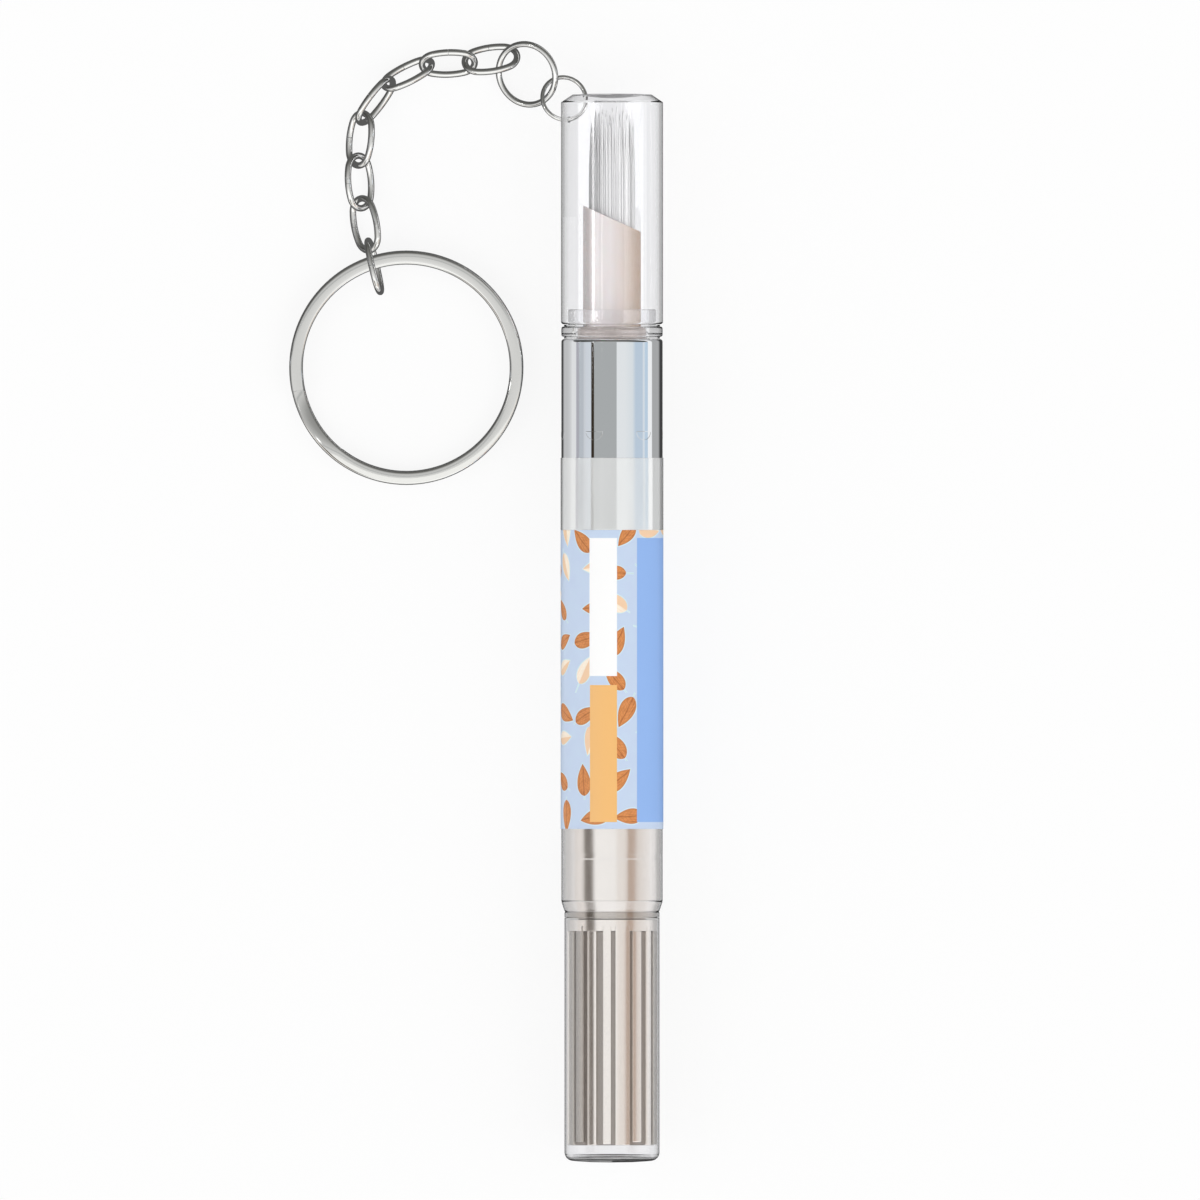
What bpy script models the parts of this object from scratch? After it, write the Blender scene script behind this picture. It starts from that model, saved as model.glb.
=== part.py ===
"""Twist-up cuticle oil pen with a brush tip, its cap hung from a key ring by a short chain.

The pen lies on a table along +Y, brush end forward. The table is the plane z = 0.
Along the pen a station is a distance from the knob's end. All sizes are in metres.
"""
import math

import bmesh
import bpy
from mathutils import Matrix, Vector

# Facets and gaps
OUTER_SIDES = 32
INNER_SIDES = 24
TUBE_SIDES = 12
SEAT_GAP = 0.0003
WALL_GAP = 0.00015
RUN_GAP = 0.0002
SKIN_GAP = 0.00005
OVERRUN = 0.002
WELD = 0.000001
SMOOTH_ANGLE = math.radians(35)

# Twist knob
KNOB_STEP = 0.0004
KNOB_LENGTH = 0.0311
KNOB_WALL = 0.0007
KNOB_FLOOR = 0.0019
KNOB_FOOT_CHAMFER = 0.0008
KNOB_FOOT_STEP_SHARE = 0.3
KNOB_LIP = 0.0011
RIB_COUNT = 24
RIB_HEIGHT = 0.0006
RIB_FILL_SHARE = 0.55

# Tail of the barrel
TAIL_LENGTH = 0.0125
TAIL_WALL = 0.0006
TAIL_LIP_HEIGHT = 0.0006
TAIL_TAPER_HEIGHT = 0.0014
TAIL_TAPER_DEPTH = 0.0004
TAIL_FLOOR = 0.0020
JOURNAL_STEP = 0.0006
JOURNAL_BEAD_HEIGHT = 0.0015
LINER_WALL = 0.0005
LINER_LENGTH = 0.0048
LINER_COLLAR_HEIGHT = 0.0009
LINER_LEDGE = 0.0010

# Barrel
BARREL_RADIUS = 0.00648
SLEEVE_WALL = 0.0005
SLEEVE_LENGTH = 0.0612
SLEEVE_EDGE = 0.0003
RESERVOIR_WALL_SHARE = 0.139
RESERVOIR_COUNTERBORE = 0.0003
RESERVOIR_SHORTFALL = 0.0010
FILM_THICKNESS = 0.00008
FILM_LENGTH = 0.0475
FILM_START_BELOW_JOINT = 0.0012

# Neck and brush
COLLAR_HEIGHT = 0.0013
COLLAR_EDGE = 0.0002
SPIGOT_HEIGHT = 0.0022
SPIGOT_WALL = 0.0008
PLUG_DEPTH = 0.0042
PLUG_WALL = 0.0016
HOLDER_WALL = 0.0006
HOLDER_FLANGE_INSET = 0.0004
HOLDER_FLANGE_WIDTH = 0.0007
HOLDER_FLANGE_HEIGHT = 0.0011
HOLDER_LENGTH = 0.0140
HOLDER_CUT_ANGLE = math.radians(24.7)
BRISTLE_SOCKET_DEPTH = 0.0045
BRISTLE_SLICE = 0.0008
BRISTLE_LENGTH = 0.0200
BRISTLE_RINGS = 10
BUNDLE_SIDES = 6
BRISTLE_SPIKE = 0.0011
BRISTLE_SHOULDER_DROP = 0.0010
BRISTLE_BEND_SHARE = 0.62
BRISTLE_WAIST_SHARE = 1.02
BRISTLE_TIP_SHARE = 0.76
STRAND_BEND_SHARE = 0.80
STRAND_TIP_SHARE = 0.30
STRAND_SCATTER = 2.4
FEED_TUBE_RADIUS = 0.0009
FEED_TUBE_BORE = 0.0005
FEED_TUBE_DROP = 0.0020

# Cap
CAP_PROUD = 0.00005
CAP_WALL = 0.00072
CAP_LENGTH = 0.0295
CAP_TOP = 0.0010
CAP_CHAMFER_HEIGHT = 0.0011
CAP_CHAMFER_DEPTH = 0.00148
CAP_MOUTH_EDGE = 0.0003

# Screw drive
THREAD_LEAD = 0.0040
THREAD_CREST_SHARE = 0.27
THREAD_ROOT_SHARE = 0.2
THREAD_CLEARANCE = 0.00038
THREAD_STEPS = 10
THREAD_CREST_SPREAD = math.radians(24)
SPINDLE_FLAT_SHARE = 0.193
SPINDLE_FOOT = 0.0040
SPINDLE_HELD_LENGTH = 0.0052
SPINDLE_NOSE_SHARE = 0.17
SPINDLE_NOSE_LENGTH = 0.0035
DRIVE_TUBE_SHARE = 0.6085
DRIVE_TUBE_TAIL = 0.0100
NUT_THREAD_LENGTH = 0.0040
NUT_SKIRT_LENGTH = 0.0048
RATCHET_HEIGHT = 0.0022
RATCHET_TEETH = 12
RATCHET_TOOTH_SHARE = 0.077
RATCHET_RIM_SHARE = 0.077
RATCHET_LEAN_SHARE = 0.1
PAWL_COUNT = 3
PAWL_RIM = 0.0003

# Piston
PISTON_LENGTH = 0.0070
PISTON_REST_GAP = 0.0030
PISTON_CROWN = 0.0008
PISTON_SOCKET_DEPTH = 0.0034
SEAL_WIRE = 0.00076
SEAL_INSET = 0.0018

# Chain
LINK_LENGTH = 0.0076
LINK_WIDTH = 0.0050
LINK_WIRE = 0.00085
LINK_PLAY = 0.0004
LINK_HEADINGS_DEG = (189, 182, 207, 233, 263.5, 274.5, 281, 283)
LINK_ROLLS_DEG = (43, -47, 60, -64, 48, -45, 46, 98.5)
LINK_HEIGHT_SHARES = (0.376, 0.436, 0.456, 0.502, 0.528, 0.452, 0.402, 0.496, 0.586)
LINK_ARC_STEPS = 7

# Jump rings
SMALL_RING_RADIUS = 0.0031
SMALL_RING_WIRE = 0.00054
SMALL_RING_INSET = 0.0004
SMALL_RING_DROP = 0.0006
SMALL_RING_LOWER = 0.0030
SMALL_RING_TILT_DEG = 20
RING_HOLE_PLAY = 0.00035
RING_HOLE_SEARCH_DEG = 0.25
LARGE_RING_RADIUS = 0.00437
LARGE_RING_WIRE = 0.00078
LARGE_RING_HEADING_DEG = 147
LARGE_RING_OVERLAP = 0.0018
LARGE_RING_DIP = 0.0009
LARGE_RING_SLOPE_DEG = -14.5
LARGE_RING_TWIST_DEG = -24
LARGE_RING_JOINT_DEG = 150
LARGE_RING_START_DEG = 129
LARGE_RING_START_SHARE = 0.69
RING_SIDES = 8
RING_STEPS = 28

# Split ring
SPLIT_RING_RADIUS = 0.0150
SPLIT_WIRE_WIDTH = 0.00175
SPLIT_WIRE_HEIGHT = 0.00083
SPLIT_WIRE_EDGE = 0.0002
SPLIT_TURN_GAP = 0.00044
SPLIT_TURNS = 2
SPLIT_STEPS_PER_TURN = 36
SPLIT_CROSSOVER_DEG = 40
SPLIT_SEAM_DEG = 192
SPLIT_HANG_SHARE = 0.407
SPLIT_HEADING_DEG = -72.6
SPLIT_LIFT = 0.00075
SPLIT_TILT_DEG = (2.45, -0.3)

# Stations and radii worked out from the sizes above
KNOB_RADIUS = BARREL_RADIUS - KNOB_STEP
CAP_RADIUS = BARREL_RADIUS + CAP_PROUD
THREAD_CREST_RADIUS = BARREL_RADIUS * THREAD_CREST_SHARE
THREAD_ROOT_RADIUS = BARREL_RADIUS * THREAD_ROOT_SHARE
SPINDLE_FLAT = BARREL_RADIUS * SPINDLE_FLAT_SHARE
SPINDLE_NOSE_RADIUS = BARREL_RADIUS * SPINDLE_NOSE_SHARE
SLEEVE_BORE = BARREL_RADIUS - SLEEVE_WALL
RESERVOIR_RADIUS = SLEEVE_BORE - WALL_GAP
RESERVOIR_BORE = RESERVOIR_RADIUS - BARREL_RADIUS * RESERVOIR_WALL_SHARE
DRIVE_TUBE_RADIUS = RESERVOIR_BORE * DRIVE_TUBE_SHARE
LOWER_BORE = RESERVOIR_BORE + RESERVOIR_COUNTERBORE
FILM_BORE = BARREL_RADIUS + SKIN_GAP
FILM_RADIUS = FILM_BORE + FILM_THICKNESS
TAIL_BORE = BARREL_RADIUS - TAIL_WALL
TAIL_START = KNOB_LENGTH + SEAT_GAP
TAIL_FLOOR_TOP = TAIL_START + TAIL_FLOOR
TAIL_END = TAIL_START + TAIL_LENGTH
SLEEVE_START = TAIL_END + SEAT_GAP
SLEEVE_END = SLEEVE_START + SLEEVE_LENGTH
FILM_START = TAIL_END - FILM_START_BELOW_JOINT
LINER_START = TAIL_FLOOR_TOP + SEAT_GAP
LINER_END = LINER_START + LINER_LENGTH
LINER_RADIUS = TAIL_BORE - WALL_GAP
LINER_BORE = LINER_RADIUS - LINER_WALL
JOURNAL_BEAD_RADIUS = LINER_BORE - RUN_GAP
JOURNAL_RADIUS = JOURNAL_BEAD_RADIUS - JOURNAL_STEP
RESERVOIR_START = LINER_END + SEAT_GAP
RESERVOIR_END = SLEEVE_END - RESERVOIR_SHORTFALL
RATCHET_START = RESERVOIR_START + SEAT_GAP
RATCHET_END = RATCHET_START + RATCHET_HEIGHT
RATCHET_RADIUS = LOWER_BORE - WALL_GAP
RATCHET_ROOT_RADIUS = RATCHET_RADIUS - BARREL_RADIUS * RATCHET_RIM_SHARE
RATCHET_CREST_RADIUS = RATCHET_ROOT_RADIUS - BARREL_RADIUS * RATCHET_TOOTH_SHARE
NUT_START = RATCHET_END + SEAT_GAP
NUT_THREAD_START = NUT_START + NUT_SKIRT_LENGTH
NUT_END = NUT_THREAD_START + NUT_THREAD_LENGTH
NUT_SKIRT_BORE = DRIVE_TUBE_RADIUS + SEAT_GAP
COLLAR_START = SLEEVE_END + SEAT_GAP
COLLAR_END = COLLAR_START + COLLAR_HEIGHT
CAP_START = COLLAR_END + SEAT_GAP
CAP_END = CAP_START + CAP_LENGTH
CAP_BORE = CAP_RADIUS - CAP_WALL
SPIGOT_RADIUS = CAP_BORE - RUN_GAP
PLUG_RADIUS = RESERVOIR_BORE - WALL_GAP
PLUG_BORE = PLUG_RADIUS - PLUG_WALL
HOLDER_FLANGE_RADIUS = SPIGOT_RADIUS - SPIGOT_WALL - HOLDER_FLANGE_INSET
HOLDER_RADIUS = HOLDER_FLANGE_RADIUS - HOLDER_FLANGE_WIDTH
PLUG_START = SLEEVE_END - PLUG_DEPTH
FLANGE_START = SLEEVE_END + SEAT_GAP
FLANGE_END = FLANGE_START + HOLDER_FLANGE_HEIGHT
HOLDER_CUT_STATION = FLANGE_END + HOLDER_LENGTH
HOLDER_LOW_POINT = HOLDER_CUT_STATION - HOLDER_RADIUS * math.tan(HOLDER_CUT_ANGLE)
HOLDER_BORE = HOLDER_RADIUS - HOLDER_WALL
SOCKET_FLOOR = HOLDER_LOW_POINT - BRISTLE_SOCKET_DEPTH
SLICE_START = SOCKET_FLOOR + SEAT_GAP
BRISTLE_RADIUS = HOLDER_BORE - RUN_GAP
JOURNAL_START = KNOB_LENGTH - KNOB_LIP
BEAD_START = TAIL_FLOOR_TOP + SEAT_GAP
BEAD_END = BEAD_START + JOURNAL_BEAD_HEIGHT
DRIVE_TUBE_END = BEAD_END + DRIVE_TUBE_TAIL
CORE_START = KNOB_FLOOR + SEAT_GAP
CORE_END = JOURNAL_START - SEAT_GAP
CORE_RADIUS = KNOB_RADIUS - KNOB_WALL - WALL_GAP
DRIVE_TUBE_START = CORE_START
PISTON_START = NUT_END + PISTON_REST_GAP
PISTON_END = PISTON_START + PISTON_LENGTH
PISTON_RADIUS = RESERVOIR_BORE - RUN_GAP
SEAL_RADIUS = RESERVOIR_BORE - SKIN_GAP
SEAL_CENTRE_RADIUS = SEAL_RADIUS - SEAL_WIRE / 2
SEAL_GROOVE_RADIUS = SEAL_RADIUS - SEAL_WIRE - SKIN_GAP
SPINDLE_NOSE_END = PISTON_START + PISTON_SOCKET_DEPTH - SEAT_GAP
SPINDLE_THREAD_END = SPINDLE_NOSE_END - SPINDLE_NOSE_LENGTH
PISTON_TRAVEL = DRIVE_TUBE_END - SPINDLE_FOOT - SPINDLE_HELD_LENGTH
AXIS_HEIGHT = FILM_RADIUS * math.cos(math.pi / OUTER_SIDES)

# Plain colour, roughness, metallic value and alpha of each finish
FINISHES = {
    "clear_plastic": ((0.93, 0.94, 0.95), 0.08, 0.0, 0.35),
    "mirror_silver": ((0.78, 0.80, 0.82), 0.10, 1.0, 1.0),
    "satin_silver": ((0.80, 0.78, 0.76), 0.35, 1.0, 1.0),
    "printed_film": ((0.77, 0.84, 0.93), 0.30, 0.0, 1.0),
    "ivory_plastic": ((0.92, 0.90, 0.91), 0.35, 0.0, 1.0),
    "grey_plastic": ((0.62, 0.60, 0.58), 0.45, 0.0, 1.0),
    "bristle_fibre": ((0.78, 0.78, 0.79), 0.60, 0.0, 1.0),
    "steel_wire": ((0.76, 0.77, 0.76), 0.20, 1.0, 1.0),
    "seal_rubber": ((0.15, 0.15, 0.16), 0.70, 0.0, 1.0),
}


def clear_scene():
    """Remove every object, so that the model starts from nothing."""
    for obj in list(bpy.data.objects):
        bpy.data.objects.remove(obj, do_unlink=True)


def make_collection(name):
    """Make a collection in the scene."""
    collection = bpy.data.collections.new(name)
    bpy.context.scene.collection.children.link(collection)
    return collection


def make_material(node_name, finish):
    """Give one piece its own material in a named finish."""
    colour, roughness, metallic, alpha = FINISHES[finish]
    material = bpy.data.materials.new(f"{node_name}_{finish}")
    material.use_nodes = True
    shader = material.node_tree.nodes["Principled BSDF"]
    shader.inputs["Base Color"].default_value = (*colour, 1.0)
    shader.inputs["Roughness"].default_value = roughness
    shader.inputs["Metallic"].default_value = metallic
    shader.inputs["Alpha"].default_value = alpha
    material.diffuse_color = (*colour, alpha)
    return material


def make_empty(name, parent=None, location=(0, 0, 0), rotation=(0, 0, 0)):
    """Make an empty that carries other objects."""
    empty = bpy.data.objects.new(name, None)
    PARTS.objects.link(empty)
    empty.parent = parent
    empty.location = location
    empty.rotation_euler = rotation
    return empty


def make_part(name, data, finish, parent):
    """Put a mesh or a curve into the model as a named piece."""
    part = bpy.data.objects.new(name, data)
    PARTS.objects.link(part)
    part.parent = parent
    part.data.materials.append(make_material(name, finish))
    return part


def make_cutter(name, mesh, parent):
    """Keep a mesh as a cutter that isn't part of the model."""
    cutter = bpy.data.objects.new(name, mesh)
    CUTTERS.objects.link(cutter)
    cutter.parent = parent
    cutter.hide_render = True
    cutter.display_type = "WIRE"
    return cutter


def cut(part, cutter, operation="DIFFERENCE"):
    """Cut a piece with a cutter."""
    boolean = part.modifiers.new(cutter.name, "BOOLEAN")
    boolean.operation = operation
    boolean.solver = "EXACT"
    boolean.object = cutter


def shape_to_mesh(shape, name):
    """Store a bmesh as a mesh and free it."""
    mesh = bpy.data.meshes.new(name)
    shape.to_mesh(mesh)
    shape.free()
    return mesh


def profile_mesh(name, profile, closed):
    """Make the edges of a profile from its (radius, station) points."""
    outline = bmesh.new()
    points = [outline.verts.new((radius, 0, station)) for radius, station in profile]
    for first, second in zip(points, points[1:]):
        outline.edges.new((first, second))
    if closed:
        outline.edges.new((points[-1], points[0]))
    return shape_to_mesh(outline, name)


def add_turning(obj, sides):
    """Turn an object's profile about its local Z axis, flats towards the table."""
    screw = obj.modifiers.new("turning", "SCREW")
    screw.steps = sides
    screw.render_steps = sides
    screw.use_merge_vertices = True
    screw.merge_threshold = WELD
    obj.rotation_euler.z = math.pi / sides


def turned(name, profile, sides, finish, parent, closed=True):
    """Turn a profile, given down its outer side first, into a piece."""
    part = make_part(name, profile_mesh(name, profile, closed), finish, parent)
    add_turning(part, sides)
    return part


def tube_profile(outer, inner, bottom, top, edge=0.0):
    """Give the section of a plain tube, its outer edges chamfered if asked."""
    section = [(outer, top), (outer, bottom)]
    if edge:
        section = [
            (outer - edge, top),
            (outer, top - edge),
            (outer, bottom + edge),
            (outer - edge, bottom),
        ]
    return section + [(inner, bottom), (inner, top)]


def cylinder_mesh(name, radius, length, sides):
    """Make a closed cylinder about Z, centred on the origin."""
    shape = bmesh.new()
    bmesh.ops.create_cone(
        shape, cap_ends=True, segments=sides, radius1=radius, radius2=radius, depth=length
    )
    return shape_to_mesh(shape, name)


def thread_shape(crest, root, start, end):
    """Sweep a two-start thread's section up the Z axis by its lead."""
    turns = (end - start) / THREAD_LEAD
    steps = round(turns * THREAD_STEPS)
    section = (crest, crest, root) * 2
    angles = (-THREAD_CREST_SPREAD, THREAD_CREST_SPREAD, math.pi / 2)
    angles += tuple(angle + math.pi for angle in angles)
    phase = 2 * math.pi * start / THREAD_LEAD
    shape = bmesh.new()
    points = [
        shape.verts.new((radius * math.cos(angle + phase), radius * math.sin(angle + phase), start))
        for radius, angle in zip(section, angles)
    ]
    bmesh.ops.spin(
        shape,
        geom=[shape.faces.new(reversed(points))],
        cent=(0, 0, 0),
        axis=(0, 0, 1),
        dvec=(0, 0, (end - start) / steps),
        angle=2 * math.pi * turns,
        steps=steps,
    )
    bmesh.ops.remove_doubles(shape, verts=shape.verts, dist=WELD)
    bmesh.ops.recalc_face_normals(shape, faces=shape.faces)
    return shape


def extruded_outline(name, outlines, bottom, top, finish, parent):
    """Extrude flat closed outlines, the outer one first, from one station to another."""
    curve = bpy.data.curves.new(name, "CURVE")
    curve.dimensions = "2D"
    curve.fill_mode = "BOTH"
    curve.extrude = (top - bottom) / 2
    for outline in outlines:
        spline = curve.splines.new("POLY")
        spline.points.add(len(outline) - 1)
        for point, (x, y) in zip(spline.points, outline):
            point.co = (x, y, 0, 1)
        spline.use_cyclic_u = True
    part = make_part(name, curve, finish, parent)
    part.location.z = (bottom + top) / 2
    return part


def circle_points(radius, sides):
    """Give a circle's points, starting half a side round from +X."""
    angles = [(step + 0.5) * 2 * math.pi / sides for step in range(sides)]
    return [(radius * math.cos(angle), radius * math.sin(angle)) for angle in angles]


def flatted_points(radius, flat, sides):
    """Give a circle's points, held in between two flats square to Y."""
    return [(x, max(-flat, min(flat, y))) for x, y in circle_points(radius, sides)]


def build_knob(axis):
    """Build the twist knob: clear shell, ribbed core, drive sleeve and pawl ring."""
    shell_bore = KNOB_RADIUS - KNOB_WALL
    foot_step = KNOB_FOOT_CHAMFER * KNOB_FOOT_STEP_SHARE
    shell = [
        (0, KNOB_FLOOR),
        (shell_bore, KNOB_FLOOR),
        (shell_bore, KNOB_LENGTH),
        (KNOB_RADIUS, KNOB_LENGTH),
        (KNOB_RADIUS, KNOB_FOOT_CHAMFER),
        (KNOB_RADIUS - foot_step, foot_step),
        (KNOB_RADIUS - KNOB_FOOT_CHAMFER, 0),
        (0, 0),
    ]
    turned("knob_shell", shell, OUTER_SIDES, "clear_plastic", axis, closed=False)
    half_rib = RIB_FILL_SHARE * math.pi / RIB_COUNT
    root = CORE_RADIUS - RIB_HEIGHT
    ribs = []
    for rib in range(RIB_COUNT):
        middle = rib * 2 * math.pi / RIB_COUNT
        for angle, radius in (
            (middle - half_rib, root),
            (middle - half_rib, CORE_RADIUS),
            (middle + half_rib, CORE_RADIUS),
            (middle + half_rib, root),
        ):
            ribs.append((radius * math.cos(angle), radius * math.sin(angle)))
    bore = circle_points(DRIVE_TUBE_RADIUS + WALL_GAP, TUBE_SIDES)
    extruded_outline("knob_core", (ribs, bore), CORE_START, CORE_END, "grey_plastic", axis)
    drive_profile = [
        (0, DRIVE_TUBE_END),
        (DRIVE_TUBE_RADIUS, DRIVE_TUBE_END),
        (DRIVE_TUBE_RADIUS, BEAD_END),
        (JOURNAL_BEAD_RADIUS, BEAD_END),
        (JOURNAL_BEAD_RADIUS, BEAD_START),
        (JOURNAL_RADIUS, BEAD_START),
        (JOURNAL_RADIUS, JOURNAL_START),
        (DRIVE_TUBE_RADIUS, JOURNAL_START),
        (DRIVE_TUBE_RADIUS, DRIVE_TUBE_START),
        (0, DRIVE_TUBE_START),
    ]
    drive = turned("drive_sleeve", drive_profile, TUBE_SIDES, "ivory_plastic", axis, closed=False)
    bore_outline = flatted_points(
        THREAD_CREST_RADIUS + RUN_GAP, SPINDLE_FLAT + RUN_GAP, TUBE_SIDES
    )
    shape = bmesh.new()
    bottom = DRIVE_TUBE_START - OVERRUN
    face = shape.faces.new([shape.verts.new((x, y, bottom)) for x, y in bore_outline])
    height = DRIVE_TUBE_END - DRIVE_TUBE_START + 2 * OVERRUN
    raised = bmesh.ops.extrude_face_region(shape, geom=[face])["geom"]
    raised_verts = [item for item in raised if isinstance(item, bmesh.types.BMVert)]
    bmesh.ops.translate(shape, vec=(0, 0, height), verts=raised_verts)
    bmesh.ops.recalc_face_normals(shape, faces=shape.faces)
    cut(drive, make_cutter("drive_bore", shape_to_mesh(shape, "drive_bore"), axis))
    pawl_radius = RATCHET_CREST_RADIUS - RUN_GAP
    pawl_root = DRIVE_TUBE_RADIUS + WALL_GAP + PAWL_RIM
    pawls = []
    steps = TUBE_SIDES // PAWL_COUNT
    for pawl in range(PAWL_COUNT):
        for step in range(steps):
            angle = 2 * math.pi * (pawl + step / steps) / PAWL_COUNT
            radius = pawl_root + (pawl_radius - pawl_root) * step / (steps - 1)
            pawls.append((radius * math.cos(angle), radius * math.sin(angle)))
    hole = circle_points(DRIVE_TUBE_RADIUS + WALL_GAP, TUBE_SIDES)
    extruded_outline(
        "ratchet_pawl_ring", (pawls, hole), RATCHET_START, RATCHET_END, "ivory_plastic", axis
    )


def build_tail(axis):
    """Build the clear tail, the satin tube in it, the ratchet ring and the fixed nut."""
    floor_bore = JOURNAL_RADIUS + RUN_GAP
    taper_top = TAIL_START + TAIL_LIP_HEIGHT + TAIL_TAPER_HEIGHT
    tail = [
        (BARREL_RADIUS, TAIL_END),
        (BARREL_RADIUS, taper_top),
        (BARREL_RADIUS - TAIL_TAPER_DEPTH, TAIL_START + TAIL_LIP_HEIGHT),
        (BARREL_RADIUS - TAIL_TAPER_DEPTH, TAIL_START),
        (floor_bore, TAIL_START),
        (floor_bore, TAIL_FLOOR_TOP),
        (TAIL_BORE, TAIL_FLOOR_TOP),
        (TAIL_BORE, TAIL_END),
    ]
    turned("tail_housing", tail, OUTER_SIDES, "clear_plastic", axis)
    collar_start = LINER_END - LINER_COLLAR_HEIGHT
    liner = [
        (LINER_RADIUS, LINER_END),
        (LINER_RADIUS, LINER_START),
        (LINER_BORE, LINER_START),
        (LINER_BORE, collar_start),
        (LINER_BORE - LINER_LEDGE, collar_start),
        (LINER_BORE - LINER_LEDGE, LINER_END),
    ]
    turned("tail_liner", liner, INNER_SIDES, "satin_silver", axis)
    teeth = []
    for tooth in range(RATCHET_TEETH):
        for place, radius in ((0, RATCHET_CREST_RADIUS), (RATCHET_LEAN_SHARE, RATCHET_ROOT_RADIUS)):
            angle = 2 * math.pi * (tooth + place) / RATCHET_TEETH
            teeth.append((radius * math.cos(angle), radius * math.sin(angle)))
    rim = circle_points(RATCHET_RADIUS, INNER_SIDES)
    extruded_outline("ratchet_ring", (rim, teeth), RATCHET_START, RATCHET_END, "grey_plastic", axis)
    nut = [
        (0, NUT_END),
        (LOWER_BORE - WALL_GAP, NUT_END),
        (LOWER_BORE - WALL_GAP, NUT_START),
        (NUT_SKIRT_BORE, NUT_START),
        (NUT_SKIRT_BORE, NUT_THREAD_START),
        (0, NUT_THREAD_START),
    ]
    drive_nut = turned("drive_nut", nut, INNER_SIDES, "ivory_plastic", axis, closed=False)
    thread = thread_shape(
        THREAD_CREST_RADIUS + THREAD_CLEARANCE,
        THREAD_ROOT_RADIUS + THREAD_CLEARANCE,
        NUT_THREAD_START - OVERRUN,
        NUT_END + OVERRUN,
    )
    cut(drive_nut, make_cutter("nut_thread", shape_to_mesh(thread, "nut_thread"), axis))


def build_barrel(axis):
    """Build the reservoir, the silver sleeve round it and the label film on that."""
    reservoir = [
        (RESERVOIR_RADIUS, RESERVOIR_END),
        (RESERVOIR_RADIUS, RESERVOIR_START),
        (LOWER_BORE, RESERVOIR_START),
        (LOWER_BORE, NUT_END + SEAT_GAP),
        (RESERVOIR_BORE, NUT_END + SEAT_GAP),
        (RESERVOIR_BORE, RESERVOIR_END),
    ]
    turned("inner_barrel", reservoir, INNER_SIDES, "satin_silver", axis)
    sleeve = tube_profile(BARREL_RADIUS, SLEEVE_BORE, SLEEVE_START, SLEEVE_END, SLEEVE_EDGE)
    turned("outer_sleeve", sleeve, OUTER_SIDES, "mirror_silver", axis)
    film = tube_profile(FILM_RADIUS, FILM_BORE, FILM_START, FILM_START + FILM_LENGTH)
    turned("label_film", film, OUTER_SIDES, "printed_film", axis)


def build_neck(axis):
    """Build the neck collar, the brush holder cut at an angle and the feed tube."""
    seat_bore = HOLDER_FLANGE_RADIUS + RUN_GAP
    collar = [
        (SPIGOT_RADIUS, COLLAR_END + SPIGOT_HEIGHT),
        (SPIGOT_RADIUS, COLLAR_END),
        (BARREL_RADIUS - COLLAR_EDGE, COLLAR_END),
        (BARREL_RADIUS, COLLAR_END - COLLAR_EDGE),
        (BARREL_RADIUS, COLLAR_START + COLLAR_EDGE),
        (BARREL_RADIUS - COLLAR_EDGE, COLLAR_START),
        (PLUG_RADIUS, COLLAR_START),
        (PLUG_RADIUS, PLUG_START),
        (PLUG_BORE, PLUG_START),
        (PLUG_BORE, SLEEVE_END),
        (seat_bore, SLEEVE_END),
        (SPIGOT_RADIUS - SPIGOT_WALL, COLLAR_END),
        (SPIGOT_RADIUS - SPIGOT_WALL, COLLAR_END + SPIGOT_HEIGHT),
    ]
    turned("neck_collar", collar, OUTER_SIDES, "clear_plastic", axis)
    tube_bore = FEED_TUBE_RADIUS + RUN_GAP
    holder_top = HOLDER_CUT_STATION + HOLDER_RADIUS
    stem_radius = PLUG_BORE - WALL_GAP
    stem_start = PLUG_START + SEAT_GAP
    holder = [
        (HOLDER_RADIUS, holder_top),
        (HOLDER_RADIUS, FLANGE_END),
        (HOLDER_FLANGE_RADIUS, FLANGE_END),
        (HOLDER_FLANGE_RADIUS, FLANGE_START),
        (stem_radius, FLANGE_START),
        (stem_radius, stem_start),
        (tube_bore, stem_start),
        (tube_bore, SOCKET_FLOOR),
        (HOLDER_BORE, SOCKET_FLOOR),
        (HOLDER_BORE, holder_top),
    ]
    brush_holder = turned("brush_holder", holder, INNER_SIDES, "ivory_plastic", axis)
    block_size = HOLDER_LENGTH
    shape = bmesh.new()
    bmesh.ops.create_cube(shape, size=block_size)
    block = make_cutter("holder_cut", shape_to_mesh(shape, "holder_cut"), axis)
    normal = Vector((math.sin(HOLDER_CUT_ANGLE), 0, math.cos(HOLDER_CUT_ANGLE)))
    block.location = Vector((0, 0, HOLDER_CUT_STATION)) + normal * (block_size / 2)
    block.rotation_euler.y = HOLDER_CUT_ANGLE
    cut(brush_holder, block)
    feed = tube_profile(
        FEED_TUBE_RADIUS, FEED_TUBE_BORE, PLUG_START - FEED_TUBE_DROP, SOCKET_FLOOR
    )
    turned("feed_tube", feed, TUBE_SIDES, "ivory_plastic", axis)


def strand_tip_station(centre, radius, number):
    """Say how far a strand reaches: shorter round the outside, and uneven."""
    top = SLICE_START + BRISTLE_LENGTH
    shoulder = BRISTLE_SHOULDER_DROP * (centre.length / radius) ** 2
    spike = BRISTLE_SPIKE * (1 + math.sin(number * STRAND_SCATTER)) / 2
    return top - shoulder - spike


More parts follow.
